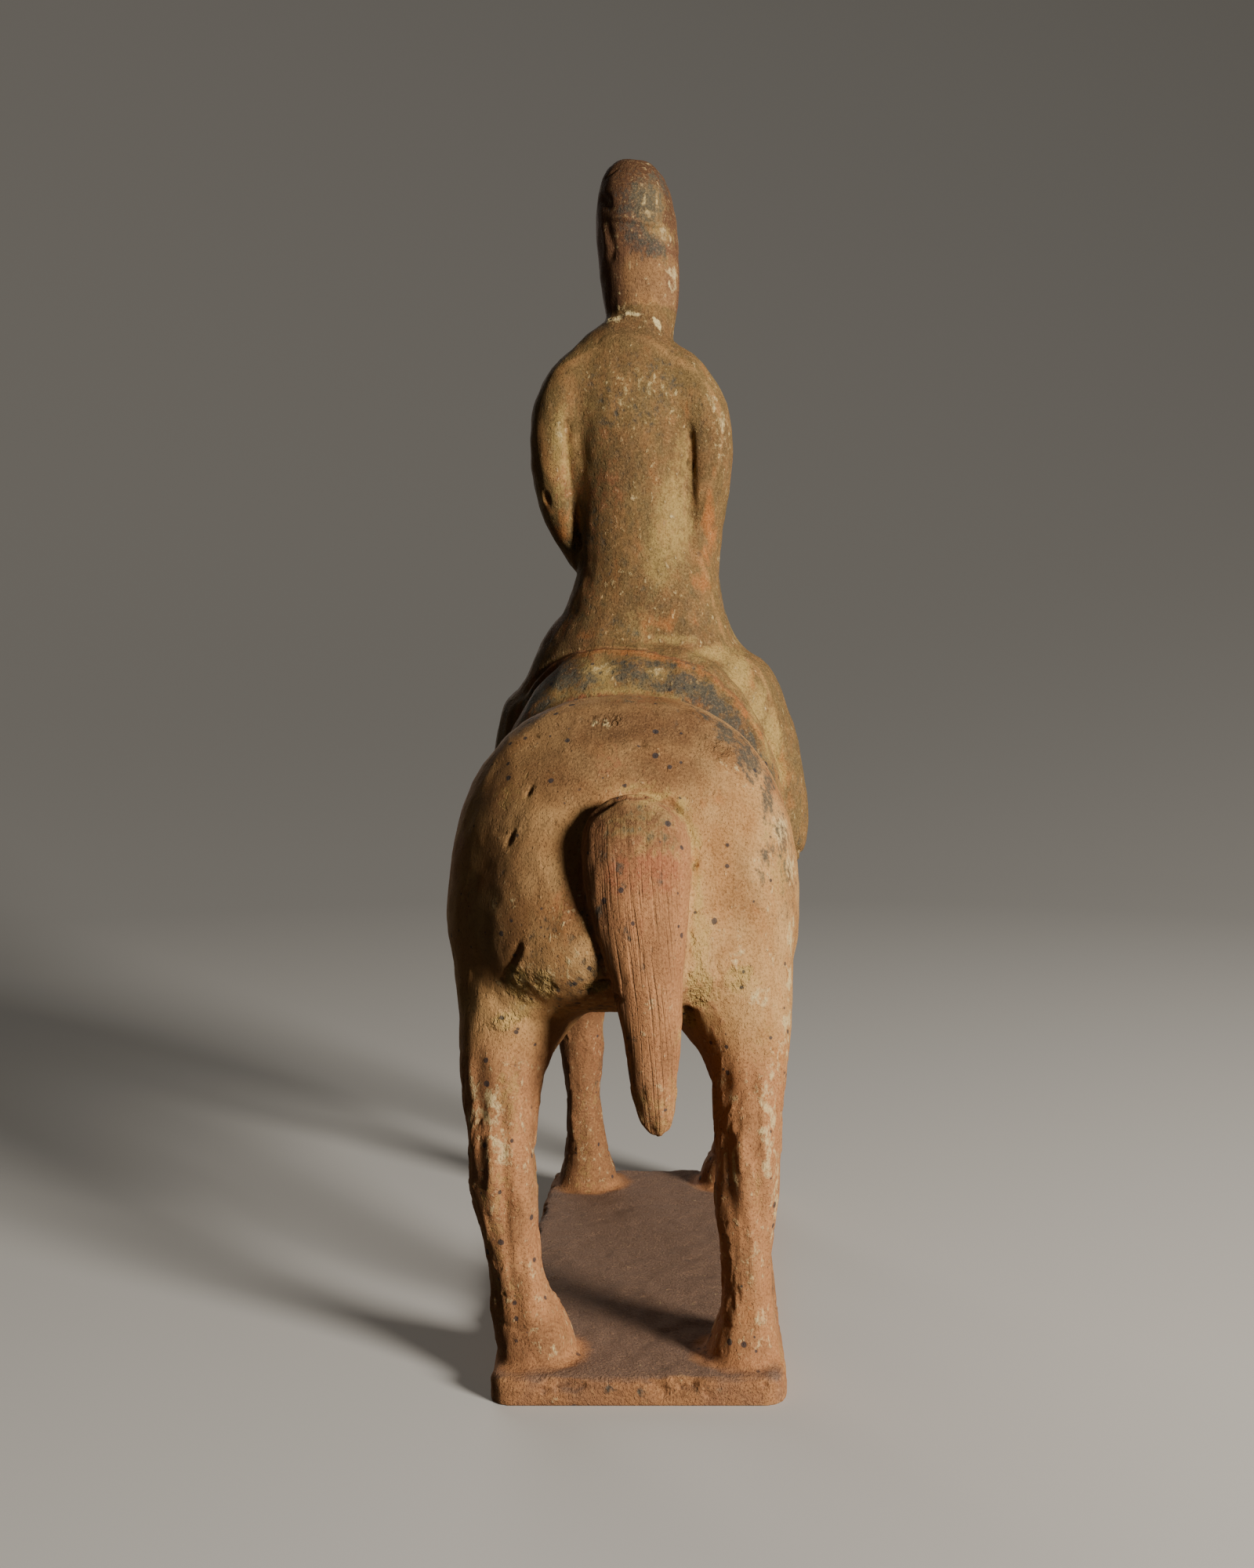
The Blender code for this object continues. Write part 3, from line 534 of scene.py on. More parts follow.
    # flaked slip on the legs, and long facets where they were pared with a knife
    legs = ramp(z, 104.0, 88.0) * ramp(z, 12.0, 22.0) * (np.abs(y) > 45)
    flakes = ramp(layered(points * (1.0, 1.0, 0.4), 3.2, 53), 0.08, 0.22)
    raised += legs * 0.35 * flakes
    raised += legs * 1.0 * noise(points * (1.0, 1.0, 0.25), 6.0, 59)
    raised += legs * 0.35 * np.abs(noise(points * (1.0, 1.0, 0.35), 4.0, 63))

    # chips and crumbling along the slab's upper edge, clay smeared round the hooves, and
    # a flat underside
    rim = between(z, SLAB_TOP - 5, SLAB_TOP + 1, 1.5) * slab_rim(points)
    raised -= rim * sizes.chip_depth / MM * ramp(layered(points, 6.0, 61), 0.1, 0.6)
    smeared = between(z, SLAB_TOP - 1, SLAB_TOP + 5, 3.0) * (np.abs(x) < 44)
    raised += smeared * 0.5 * layered(points, 5.0, 67, 2)
    raised *= ramp(z, 0.0, 1.6)
    return raised


# Stains, remains of paint, painted shade and painted light seen from behind, each with its
# colour's mask: across and up in mm, half width, half height, and strength
STAINS_AND_PAINTED_LIGHT = {
    "cream": [
        (-15, 210.5, 6, 3, .75), (-10, 207.5, 4, 2, .5), (4.6, 210, 3, 2.4, .75),
        (9.5, 206, 3, 2, .5), (15, 206, 3, 2, .5), (21, 200, 2, 3, .45), (-24, 208, 4, 4, .45),
        (33, 189, 2, 4, .4), (43, 161, 4, 5, .85), (41, 155, 5, 3, .6), (45, 148, 2.4, 6, .9),
        (36, 152, 3, 4, .6), (35, 113.6, 4.6, 3, 1), (44, 117, 2.4, 3.4, .95), (45, 128, 2, 9, .9),
        (44.5, 104, 2.4, 14, .9), (29, 126, 3, 6, .6), (38, 124, 4, 3, .6), (24, 131, 2, 5, .5),
        (20, 128, 1.4, 8, .6), (-12.5, 193, 5, 1.4, .9), (26, 181, 3, 1.8, .7), (36, 182, 3, 3, .5),
        (33, 175, 3, 4, .35), (14, 169, 3, 3, .5), (40, 138, 4, 5, .45), (30, 146, 4, 6, .35),
        (31, 137, 5, 3, .4), (-17, 309, 5, 7, .45), (-9, 305, 7, 11, .5), (0, 304, 6, 10, .5),
        (8, 301, 6, 10, .5), (-3, 292, 4, 6, .45), (22, 303, 3, 10, .75), (26, 291, 2.5, 10, .8),
        (27, 277, 2, 8, .6), (-31, 291, 2.5, 7, .85), (-32, 281, 2, 4, .6), (2, 283, 3, 4, .35),
        (6, 234, 5, 3, .5), (-8, 232, 4, 2.5, .5), (-16, 230, 4, 3, .4), (16, 236, 3, 3, .4),
        (-3, 246, 3, 3, .35), (0, 371, 7, 9, .62), (4, 362, 5, 5, .62), (1, 355, 5, 3, .55),
        (-4, 379, 5, 3, .5), (7.4, 347, 1.6, 7, 1), (6.4, 338, 1.4, 3, .6), (-43, 83, 5, 7, .9),
        (-40, 72, 4, 6, .8), (-46, 74, 2, 8, .5), (-41, 55, 3, 4, .7), (37.5, 78, 2.2, 18, .95),
        (40, 56, 2, 14, .9), (33, 45, 2.2, 6, .7), (36.5, 22, 2, 3, 1), (28, 68, 2.4, 8, .7),
        (26, 84, 3, 8, .6), (-49, 80, 1.6, 16, .8), (-33, 66, 2, 8, .6), (-36, 32, 4, 6, .5),
        (-40, 20, 5, 5, .4), (31, 28, 3, 6, .5), (40, 92, 2, 8, .8), (34, 13, 1.6, 1.6, .9),
        # the broad cream at (-31, 118) and (-21, 121) on the left buttock is partly the torn clay's
        # cream earth and partly painted light that lifts the shade there
        (30, 92, 3, 6, .45), (-33, 92, 3, 5, .4), (5, 118, 2, 5, .25), (-31, 118, 10, 6, .7),
        (-21, 121, 8, 6, .6), (-36, 121, 2.4, 2.4, .6), (-35, 111, 3, 2.6, .6), (0, 6, 30, 2, .15),
    ],
    "orange": [
        (20.6, 262, 2.5, 14, .9), (22, 278, 2, 6, .7), (17, 242, 5, 4, .7), (19.5, 250, 3, 5, .7),
        (-29, 260, 3, 8, .85), (-33, 268, 2, 5, .5), (8, 227, 6, 4, .75), (-4, 226, 8, 4, .5),
        (19, 226, 4, 6, .5), (8, 296, 4, 5, .45), (14, 300, 3, 4, .5), (-6, 238, 6, 3, .4),
        (-20, 222, 5, 2.5, .6), (46, 178, 3, 9, .7), (49, 168, 2, 9, .6), (36, 207, 3, 6, .5),
        (30, 140, 9, 8, .3), (22, 172, 6, 7, .55), (28, 160, 9, 8, .35), (16, 138, 3.4, 3, .6),
        (21, 139, 4, 2, .5), (-20, 150, 8, 14, .25), (-30, 150, 5, 14, .3), (24, 124, 4, 5, .5),
        (33, 128, 6, 5, .35), (16, 152, 1.4, 9, .8), (10, 203, 12, 1.6, .4),
    ],
    "red": [
        (5.5, 153, 8, 4.4, .95), (-4, 152, 5, 4.5, .75), (0, 147, 8, 3, .6), (9, 148, 4, 3, .7),
        (-1, 136, 5, 6, .35), (12, 352, 2, 4, .3), (-14, 349, 2, 5, .35), (4, 108, 5, 12, .25),
    ],
    "grey": [
        (-4, 209, 8, 4, .95), (12, 207, 7, 4.4, 1), (17, 203, 7, 5, 1), (22, 199, 6, 5, 1),
        (-19, 207, 6, 4, .8), (-27, 208, 7, 5, .95), (-36, 200, 6, 8, .9), (27, 193, 5, 6, 1),
        (33, 184, 4, 8, 1), (39, 173, 3, 9, 1), (42, 160, 1.8, 8, .8), (45, 150, 1.4, 6, .7),
        (-4, 201, 9, 1.6, .5), (0, 212.6, 16, 1.8, .8), (3, 206, 5, 3, .9),
        (37.5, 155, 2.6, 2.2, .9), (44.5, 156, 1.4, 5, .5), (-1, 166, 7, 5, .5), (7, 163, 5, 5, .5),
        (-7, 160, 4, 5, .45), (-4.7, 154, 1.6, 2.4, .9), (-3, 147.7, 2, 1.6, .8),
        (-10.6, 141, 1.4, 2.6, .9), (-1.5, 135.6, 1.6, 1.8, .95), (0.7, 125.7, 1.6, 1.4, .8),
        (4.5, 127.7, 1, 1.6, .8), (6.7, 149.6, 1, 2.6, .8), (-6.5, 116, 1.6, 2.2, .8),
        (10.4, 118.6, 1.2, 1.2, .5), (-1, 104, 3, 6, .45), (2, 95, 2, 6, .3), (-3, 371, 9, 11, .85),
        (0, 357, 6, 4, .9), (-5, 362, 6, 5, .85), (4, 379, 6, 5, .7), (0, 313, 9, 5, .5),
        (-12, 300, 6, 10, .45), (7, 310, 6, 6, .5), (-12, 262, 3, 4, .4), (-2, 298, 12, 9, .4),
        (-20, 312, 6, 6, .4), (-10, 224, 10, 4, .45), (4, 238, 7, 4, .35), (-11, 244, 4, 3, .45),
        (-20, 236, 3, 4, .4), (-26, 228, 5, 5, .5), (-17, 119.5, 3.4, 2, .7),
        (-12, 109.6, 4, 1.2, .9), (-8.6, 4.5, 2.4, 1.6, .9), (1.6, 4, 2.4, 1.6, .8),
        (20, 5, 6, 2, .35),
    ],
    "yellow": [
        (8, 262, 7, 20, .8), (4, 250, 6, 14, .7), (12, 284, 4, 12, .6), (-30, 284, 4, 16, .7),
        (31, 210, 4, 8, 1), (37, 199, 4, 8, 1), (42, 188, 3.4, 9, 1), (45, 176, 2.4, 9, .9),
        (22, 216, 8, 3, .9), (8, 221, 10, 2, .7), (12.6, 168.4, 2.2, 4, 1), (15.4, 161, 1.7, 7, 1),
        (4, 171.6, 7, 1.3, .9), (1, 164, 11, 7, .55), (6, 158, 7, 4, .5), (16.2, 146, 1.6, 13, .85),
        (18, 131, 3.4, 8, .8), (19, 118, 4, 7, .8), (14, 106, 3, 3, .9), (-35, 119, 4, 4.4, .9),
        (-26, 116.6, 3, 4, .85), (-34, 111, 4.4, 3.4, .8), (-40, 106, 5, 3, .5),
        (-12, 118, 5, 2.5, .4), (30, 117, 6, 4, .6), (-2, 174.5, 10, 1.4, .7),
        (42, 148, 3.4, 9, .6), (39, 160, 5, 4, .5), (-10, 203.6, 14, 2.6, .8),
        (6, 201.4, 12, 2, .6), (0, 371, 7, 10, .7), (4, 362, 5, 6, .65), (5, 352, 4, 4, .4),
        (-30, 293, 3, 10, .6), (-15, 209.5, 8, 5, .85), (4, 209, 5, 3, .8), (-4, 207, 18, 5, .5),
        (15, 204, 4, 4, .55), (-27, 205, 8, 5, .6), (27, 192, 3, 5, .45), (-38, 84, 4, 12, .5),
        (36, 100, 6, 8, .4), (-42, 44, 4, 8, .45), (33, 60, 3, 9, .4),
    ],
    # The brown rows on the left side are painted shade on the side turned away from the light: the
    # left of the rump and buttock, the left hind leg's outer edge and hoof, the band's and the
    # robe's left ends, the torso's left flank and the left of the rider's head. The brown at (-12,
    # 150) is painted shade down the tail's left edge, and the thin line at (-1, 200) is painted
    # shade where the band meets the rump. The rest is the mauve-brown stain and the dark of the
    # hood's crown.
    "brown": [
        (0, 192, 36, 9, .95), (-22, 180, 18, 11, .8), (-28, 208, 10, 6, .9), (14, 268, 6, 22, .35),
        (26, 188, 14, 9, .8), (6, 180, 20, 7, .8), (-36, 155, 9, 22, .6), (-24, 160, 9, 12, .3),
        (20, 173, 8, 5, .4), (4, 128, 3, 10, .3), (-28, 222, 12, 7, .7), (-1, 166, 13, 6, .95),
        (-8, 159, 7, 8, .8), (-12, 150, 3, 9, .7), (6, 161, 6, 4, .7), (0, 232, 16, 6, .5),
        (14, 222, 10, 5, .5), (-18, 200, 16, 5, .5), (0, 277, 20, 6, .3), (-16, 255, 7, 20, .4),
        (-20, 300, 5, 12, .35), (-1, 200, 26, 2, .8), (-4, 328, 18, 6, .6), (-4, 317, 20, 5, .3),
        (-14, 372, 5, 12, 1), (-4, 388, 16, 9, 1.3), (-12, 380, 6, 8, 1.2), (8, 376, 6, 14, 1.1),
        (0, 378, 12, 10, .9), (10.5, 360, 2.2, 12, 1), (-14, 344, 5, 12, 1), (-10, 340, 5, 8, .7),
        (-30, 14, 12, 7, .6), (-7, 372, 6, 7, .8), (-15, 356, 4, 9, .6), (-10, 240, 12, 5, .35),
        (0, 5, 40, 4, .4), (-38, 140, 8, 22, .7), (-42, 170, 6, 16, .7), (-36, 50, 5, 8, .5),
        (-44, 64, 4, 10, .45), (-33, 90, 5, 8, .4), (27, 56, 3, 12, .2), (30, 38, 4, 6, .5),
        (-38, 14, 7, 4, .4), (34, 14, 6, 3, .4), (-44, 90, 4, 10, .5),
    ],
}


def stain(points, behind, rows, seed):
    """Where the stains, painted shade and painted light of one colour lie, from 0 to 1, with ragged
    outlines.
    """
    x = points[:, 0] + 1.6 * noise(points, 5.0, seed)
    z = points[:, 2] + 1.6 * noise(points, 5.0, seed + 1)
    total = np.zeros(len(x))
    for across, up, wide, high, strength in rows:
        gap = ((x - across) / wide) ** 2 + ((z - up) / high) ** 2
        total = np.maximum(total, strength / (1 + gap * gap))
    return np.where(total > 0.04, total, 0.0) * behind


def elsewhere(points, behind, seed):
    """Patches of one colour: faint ones behind, and more on the sides that the
    photograph doesn't show."""
    patches = layered(points * (1.0, 1.0, 0.7), 20.0, seed + 40)
    return ramp(patches, 0.12, 0.5) * (0.62 - 0.17 * behind)


def surface_masks(points, normals, hollows):
    """Where each finish lies, from 0 to 1 at each point of the finished mesh."""
    x, y, z = points.T
    behind = ramp(-normals[:, 1], -0.1, 0.4)
    _, share, side = along_line(points[:, [0, 2]], HEM)

    # the robe above its hem behind, and its lap and skirt in front
    rear = ramp(y, -8.0, -14.0)
    above_hem = ramp(side, -1.0, 0.6) * (np.abs(x) < 60)
    back_edge, front_edge = (np.interp(z, *np.array(SKIRT)[:, [0, i]].T) for i in (1, 2))
    skirt = ramp(z, 142.0, 145.0) * between(y, back_edge, front_edge, 1.2)
    skirt *= ramp(np.abs(x), 30.0, 38.0)
    lap = ramp(z, 196.0, 206.0) * between(y, -26.0, 44.0, 4.0)
    robe = np.maximum(rear * above_hem * ramp(z, 146.0, 152.0) * ramp(y, -44.0, -38.0),
                      (1 - rear) * np.maximum(skirt, lap))
    robe *= ramp(z, 338.5, 335.0) * ramp(y, 62.0, 50.0)

    # the saddle with its cloth, boots, trousers, and the painted band under the hem
    saddle = between(y, -43.0, 51.0, 1.0) * ramp(z, 108.0, 112.0) * ramp(z, 225.0, 215.0)
    saddle *= np.maximum(ramp(np.abs(x), 27.0, 32.0), ramp(z, 186.0, 190.0)) * (1 - robe)
    outer = ramp(np.abs(x - RIDER), 41.0, 43.0)
    shin = outer * ramp(within_limb(points, SHIN), -0.9, 0.3) * ramp(z, 146.0, 143.0)
    boots = outer * np.maximum(ramp(within_limb(points, BOOT), -1.4, 0.0),
                               shin * between(z, 108.0, 130.6, 1.0))
    trousers = shin * ramp(z, 130.6, 132.0)
    foot = np.maximum(boots, shin)
    at_ledge = behind * between(y, -46.0, -14.0, 3.0)
    band = at_ledge * between(side, -14.0, -2.5, 1.5) * between(share, 0.03, 0.95, 0.04)
    lip = at_ledge * between(side, -2.9, -0.9, 0.6)

    # tail, head, hands, mane, hooves, legs and slab
    tail, around = tail_place(points)
    oval = np.abs((x - FACE) / 13.2) ** 3 + np.abs((z - 350.8) / 16.0) ** 3
    face = ramp(oval, 1.0, 0.86) * ramp(y, 10.5, 13.0)
    hands = between(y, 36.0, 60.0, 1.0) * between(z, 250.0, 276.0, 1.0)
    hands *= np.abs(x - RIDER) < 17.5
    crest, length, _ = along_line(points[:, 1:], CREST)
    breadth = np.interp(length, [0.8, 1.0], [5.2, 1.0])
    mane = ramp(crest, 8.0, 5.5) * ramp(np.abs(x) - breadth, 0.6, -0.6)
    hooves = np.max([ramp(np.hypot(x - across, y - along), 20.0, 12.5)
                     for across, along in HOOVES], axis=0)
    legs = ramp(z, 108.0, 92.0) * ramp(z, 8.5, 11.0) * (np.abs(y) > 45)
    low_legs = ramp(z, 130.0, 76.0) * ramp(z, 8.5, 11.0) * ramp(np.abs(y), 30.0, 55.0)
    head = ramp(z, 334.0, 337.0) * (1 - face)
    skin = np.maximum(face, hands)
    slab = np.maximum(ramp(normals[:, 2], 0.3, 0.7) * (z < 12.0), 0.6 * ramp(z, 8.6, 7.6))
    slab *= (1 - 0.75 * hooves) * (1 - 0.45 * slab_rim(points))
    robe = robe * (1 - hands)
    saddle = saddle * (1 - foot) * (1 - band)
    torn = torn_clay(points) * behind

    # the colours' own stains, painted shade and painted light, with what each part adds to them
    on = {name: np.maximum(stain(points, behind, rows, 83 + 2 * seed),
                           (1 - slab) * elsewhere(points, behind, 83 + 2 * seed))
          for seed, (name, rows) in enumerate(STAINS_AND_PAINTED_LIGHT.items())}
    # the brown on the fore legs is painted shade under the horse's body
    on["brown"] = np.maximum.reduce([on["brown"], 0.9 * boots, 0.7 * mane, 0.3 * head,
                                     0.6 * low_legs * ramp(y, 20.0, 50.0)])
    on["red"] = np.maximum(on["red"], 0.62 * saddle)
    on["orange"] = np.maximum(on["orange"], 0.7 * lip)
    on["yellow"] = np.maximum(on["yellow"], 0.85 * torn * (z < 142.0))
    on["cream"] = np.maximum.reduce([on["cream"], 0.6 * trousers, 0.3 * skin, 0.42 * legs,
                                     0.32 * robe, 0.36 * head])
    on.update({
        "slip": np.maximum.reduce([robe, band, saddle]),
        # the hood brown thins on the head's lower right behind: painted light on the head's lit
        # side
        "head": head * (1 - 0.35 * ramp(z, 360.0, 350.0) * behind * ramp(x, -14.0, -6.0)),
        "pink": np.maximum.reduce([low_legs, tail, skin, ramp(z, SLAB_TOP + 1, SLAB_TOP),
                                   hooves * (z < 14.0), 0.4 * head * ramp(z, 362.0, 352.0)]),
        "slab": slab,
        "torn": torn,
        "crumbs": np.clip(neck_crumbs(points) * 1.5, 0, 1),
        # painted shade in the mesh's hollows, less of it round the hooves
        "hollow": ramp(hollows, 0.02, 0.15) * (1 - 0.75 * hooves * (z < 18.0)),
        "ridge": ramp(-hollows, 0.02, 0.14),
        "sooty": (1 - 0.85 * np.maximum.reduce([robe, head, skin])) * (1 - 0.7 * slab),
        "combed": tail * (1 - 0.6 * ramp(z, 148.0, 157.0)),
        "tail_around": around,
    })
    return on


# Shape helpers

def add_lump(shape, place, radii, turn):
    """An egg-shaped lump of clay, turned about the line from side to side."""
    where = Matrix.Translation(Vector(place) * MM) @ Matrix.Rotation(radians(turn), 4, "X")
    where = where @ Matrix.Diagonal((*(Vector(radii) * MM), 1.0))
    bmesh.ops.create_uvsphere(shape, u_segments=28, v_segments=18, radius=1.0, matrix=where)


def mesh_arrays(mesh):
    """A mesh's points in millimetres and its normals, as arrays."""
    points = np.empty(len(mesh.vertices) * 3)
    mesh.vertices.foreach_get("co", points)
    normals = np.empty(len(mesh.vertices) * 3)
    mesh.vertex_normals.foreach_get("vector", normals)
    return points.reshape(-1, 3) / MM, normals.reshape(-1, 3)


def edge_array(mesh):
    """The two points of each of a mesh's edges."""
    edges = np.empty(len(mesh.edges) * 2, dtype=np.int64)
    mesh.edges.foreach_get("vertices", edges)
    return edges.reshape(-1, 2)


def neighbour_mean(values, edges, counts):
    """The mean of each point's neighbours."""
    total = np.empty_like(values)
    for i in range(values.shape[1]):
        column = values[:, i]
        total[:, i] = np.bincount(edges[:, 0], column[edges[:, 1]], len(values))
        total[:, i] += np.bincount(edges[:, 1], column[edges[:, 0]], len(values))
    return total / counts[:, None]


def even_out(points, edges, passes):
    """Smooths facets away and keeps the volume."""
    counts = np.bincount(edges.ravel(), minlength=len(points)).astype(float)
    for _ in range(passes):
        for strength in SHRINK_AND_SWELL:
            points = points + strength * (neighbour_mean(points, edges, counts) - points)
    return points


def hollowness(points, normals, edges):
    """How far each point lies under its neighbours' mean, in millimetres."""
    counts = np.bincount(edges.ravel(), minlength=len(points)).astype(float)
    sunk = ((neighbour_mean(points, edges, counts) - points) * normals).sum(axis=1)[:, None]
    for _ in range(2):
        sunk = 0.5 * sunk + 0.5 * neighbour_mean(sunk, edges, counts)
    return sunk[:, 0]


def set_points(mesh, points):
    """Moves a mesh's points to places in millimetres."""
    mesh.vertices.foreach_set("co", (points * MM).ravel())
    mesh.update()


def applied(obj):
    """The object's mesh as its modifiers leave it, which then replaces its own."""
    depsgraph = bpy.context.evaluated_depsgraph_get()
    mesh = bpy.data.meshes.new_from_object(obj.evaluated_get(depsgraph))
    obj.modifiers.clear()
    old = obj.data
    obj.data = mesh
    bpy.data.meshes.remove(old)
    return mesh


# Material helpers

def linear(hex_colour):
    """An sRGB hex colour as linear light."""
    values = [int(hex_colour[i:i + 2], 16) / 255 for i in (1, 3, 5)]
    return tuple(v / 12.92 if v <= 0.04045 else ((v + 0.055) / 1.055) ** 2.4
                 for v in values) + (1.0,)


def add_node(tree, kind, settings, out=0):
    """Adds a node with its settings and links, and gives an output or the node itself."""
    node = tree.nodes.new(kind)
    for name, value in settings.items():
        if not isinstance(name, int) and name not in node.inputs:
            setattr(node, name, value)
    for name, value in settings.items():
        if isinstance(value, bpy.types.NodeSocket):
            tree.links.new(value, node.inputs[name])
        elif isinstance(name, int) or name in node.inputs:
            node.inputs[name].default_value = value
    return node if out is None else node.outputs[out]


# Blotches that the finishes share: size in mm, height in sizes, and detail
BLOTCHES = {
    "flecks": (2.3, 1.4, 3.0),
    "spots": (4.8, 2.0, 3.0),
    "clouds": (13.0, 1.3, 2.0),
}

# Worn finishes on the clay, and painted shade in the brown and in the hollows, from the
# lowest to the topmost. Each has its mask, its colour, its blotches, how much they break it
# up (under 0 it keeps to their gaps), its level (0 covers half of where the mask is full),
# how soft its edge is, and how much it hides
FINISHES = [
    ("pink", "pink_clay", "clouds", 0.8, 0.35, 0.4, 0.80),
    ("slip", "ochre_slip", "clouds", 0.8, 0.45, 0.4, 0.92),
    ("slip", "clay", "spots", 2.2, -0.10, 0.6, 0.52),
    ("slip", "grey_pigment", "flecks", -2.2, -0.20, 0.6, 0.34),
    ("head", "hood_brown", "clouds", 0.8, 0.35, 0.4, 0.92),
    ("slab", "slab_dust", "clouds", -0.9, 0.45, 0.4, 0.92),
    ("brown", "brown_stain_and_shade", "spots", 0.5, 0.42, 1.0, 0.86),
    ("red", "red_paint", "flecks", 2.0, 0.36, 0.6, 0.70),
    ("orange", "orange_slip", "spots", 1.5, 0.30, 0.5, 0.60),
    ("yellow", "yellow_earth", "flecks", -1.5, 0.35, 0.6, 0.75),
    ("grey", "grey_pigment", "flecks", -2.4, 0.30, 0.5, 0.82),
    ("cream", "cream_slip", "flecks", 3.0, 0.10, 0.45, 0.66),
    ("crumbs", "cream_slip", "flecks", 2.6, 0.30, 0.5, 0.88),
    ("ridge", "clay_pale", "flecks", 1.0, 0.00, 0.5, 0.30),
    # painted shade laid into the hollows
    ("hollow", "hollow_shade", "flecks", -0.8, 0.10, 0.5, 0.85),
]

# What the finest grain does: the mask that it keeps to, its pattern, the pattern's
# values between which it rises, and how high it stands in mm
GRAINS = [
    (None, "grit", 0.28, 0.50, 0.17),
    (None, "flecks", 0.30, 0.42, 0.16),
    (None, "flecks", 0.58, 0.72, 0.14),
    ("torn", "flecks", 0.40, 0.58, 0.55),
    ("slab", "grit", 0.40, 0.60, 0.20),
    ("clouds", "wiped", 0.36, 0.54, 0.05),
    ("combed", "hair", 0.34, 0.48, 0.26),
]

# The mesh's own values that the material reads
MASKS = sorted({row[0] for row in FINISHES} | {"torn", "sooty", "combed", "tail_around"})

# The grit's dark pits and pale crumbs: its values between which they come, how much
# they cover, and their colour
GRIT_TONES = [(0.44, 0.30, 0.55, "clay_deep"), (0.56, 0.72, 0.40, "clay_pale")]

# Soot and manganese specks: their spacing and the largest half width in mm
SPECKS = (4.4, 1.1)


def clay_material(colours):
    """Fired earthenware: hand-pressed orange clay, matt and open-grained, with worn
    remains of ochre, cream and grey unfired paint, soot specks and burial earth, and
    brown painted shade in the hollows and on the side away from the light."""
    material = bpy.data.materials.new("fired_earthenware_with_worn_slip_and_painted_shade")
    material.use_nodes = True
    tree = material.node_tree
    tree.nodes.clear()
    place = add_node(tree, "ShaderNodeTexCoord", {}, out="Object")
    blotches = {}
    for name, (size, tall, detail) in BLOTCHES.items():
        stretched = add_node(tree, "ShaderNodeMapping", {
            "Vector": place, "Scale": (1.0, 1.0, 1.0 / tall)})
        blotches[name] = add_node(tree, "ShaderNodeTexNoise", {
            "Vector": stretched, "Scale": 1 / (size * MM), "Detail": detail, "Roughness": 0.65})

    # the grit, in grains of half a millimetre and finer
    grit = add_node(tree, "ShaderNodeTexNoise", {
        "Vector": place, "Scale": 1 / (0.75 * MM), "Detail": 3.0, "Roughness": 0.75})
    blotches["grit"] = grit

    # faint upright scrapes where the clay was wiped with a cloth
    wiped = add_node(tree, "ShaderNodeMapping", {"Vector": place, "Scale": (1.0, 1.0, 0.06)})
    blotches["wiped"] = add_node(tree, "ShaderNodeTexNoise", {
        "Vector": wiped, "Scale": 1 / (0.8 * MM), "Detail": 1.0})

    # hair strokes about 1 mm apart run down the tail, round it by its own measure
    masks = {name: add_node(tree, "ShaderNodeAttribute", {"attribute_name": name}, out="Fac")
             for name in MASKS}
    up = add_node(tree, "ShaderNodeSeparateXYZ", {"Vector": place}, out="Z")
    hair = add_node(tree, "ShaderNodeCombineXYZ", {"X": masks["tail_around"], "Y": up})
    hair = add_node(tree, "ShaderNodeMapping", {
        "Vector": hair, "Scale": (1.0, 1.0 / (30 * MM), 1.0)})
    blotches["hair"] = add_node(tree, "ShaderNodeTexNoise", {
        "Vector": hair, "Scale": 1.0, "Detail": 1.0})

    # the clay itself, in broad warm and pale clouds
    clouds = add_node(tree, "ShaderNodeMapRange", {
        "Value": blotches["clouds"], 1: 0.36, 2: 0.64, 3: 0.1, 4: 0.8})
    covers = [(clouds, "clay_pale")]

    # each finish lies where its mask and its blotches together pass its level
    for mask, name, pattern, breakup, level, soft, amount in FINISHES:
        cover = add_node(tree, "ShaderNodeMath", {
            "operation": "MULTIPLY_ADD", 0: blotches[pattern], 1: breakup, 2: masks[mask]})
        start = 1.0 + 0.5 * breakup - level - 0.5 * soft
        cover = add_node(tree, "ShaderNodeMapRange", {
            "Value": cover, 1: start, 2: start + soft, 4: amount})
        covers.append((cover, name))

    # dark in the grit's pits and pale on its crumbs
    for low, high, amount, name in GRIT_TONES:
        covers.append((add_node(tree, "ShaderNodeMapRange", {
            "Value": grit, 1: low, 2: high, 4: amount}), name))

    # specks, most of them small, each a little ragged
    spacing, half_width = SPECKS
    spots = add_node(tree, "ShaderNodeTexVoronoi", {
        "Vector": place, "Scale": 1 / (spacing * MM)}, out=None)
    chance = add_node(tree, "ShaderNodeSeparateColor", {"Color": spots.outputs["Color"]})
    chance = add_node(tree, "ShaderNodeMath", {"operation": "POWER", 0: chance, 1: 2.2})
    reach = add_node(tree, "ShaderNodeMapRange", {
        "Value": chance, 3: 0.04, 4: half_width / spacing})
    ragged = add_node(tree, "ShaderNodeMath", {
        "operation": "MULTIPLY_ADD", 0: grit, 1: 0.22, 2: reach})
    dot = add_node(tree, "ShaderNodeMath", {
        "operation": "SUBTRACT", 0: ragged, 1: spots.outputs["Distance"]})
    dot = add_node(tree, "ShaderNodeMapRange", {"Value": dot, 1: 0.11, 2: 0.15, 4: 0.82})
    covers.append((add_node(tree, "ShaderNodeMath", {
        "operation": "MULTIPLY", 0: dot, 1: masks["sooty"]}), "speck"))

    colour = colours.clay
    for cover, name in covers:
        colour = add_node(tree, "ShaderNodeMix", {
            "data_type": "RGBA", 0: cover, 6: colour, 7: getattr(colours, name)}, out=2)

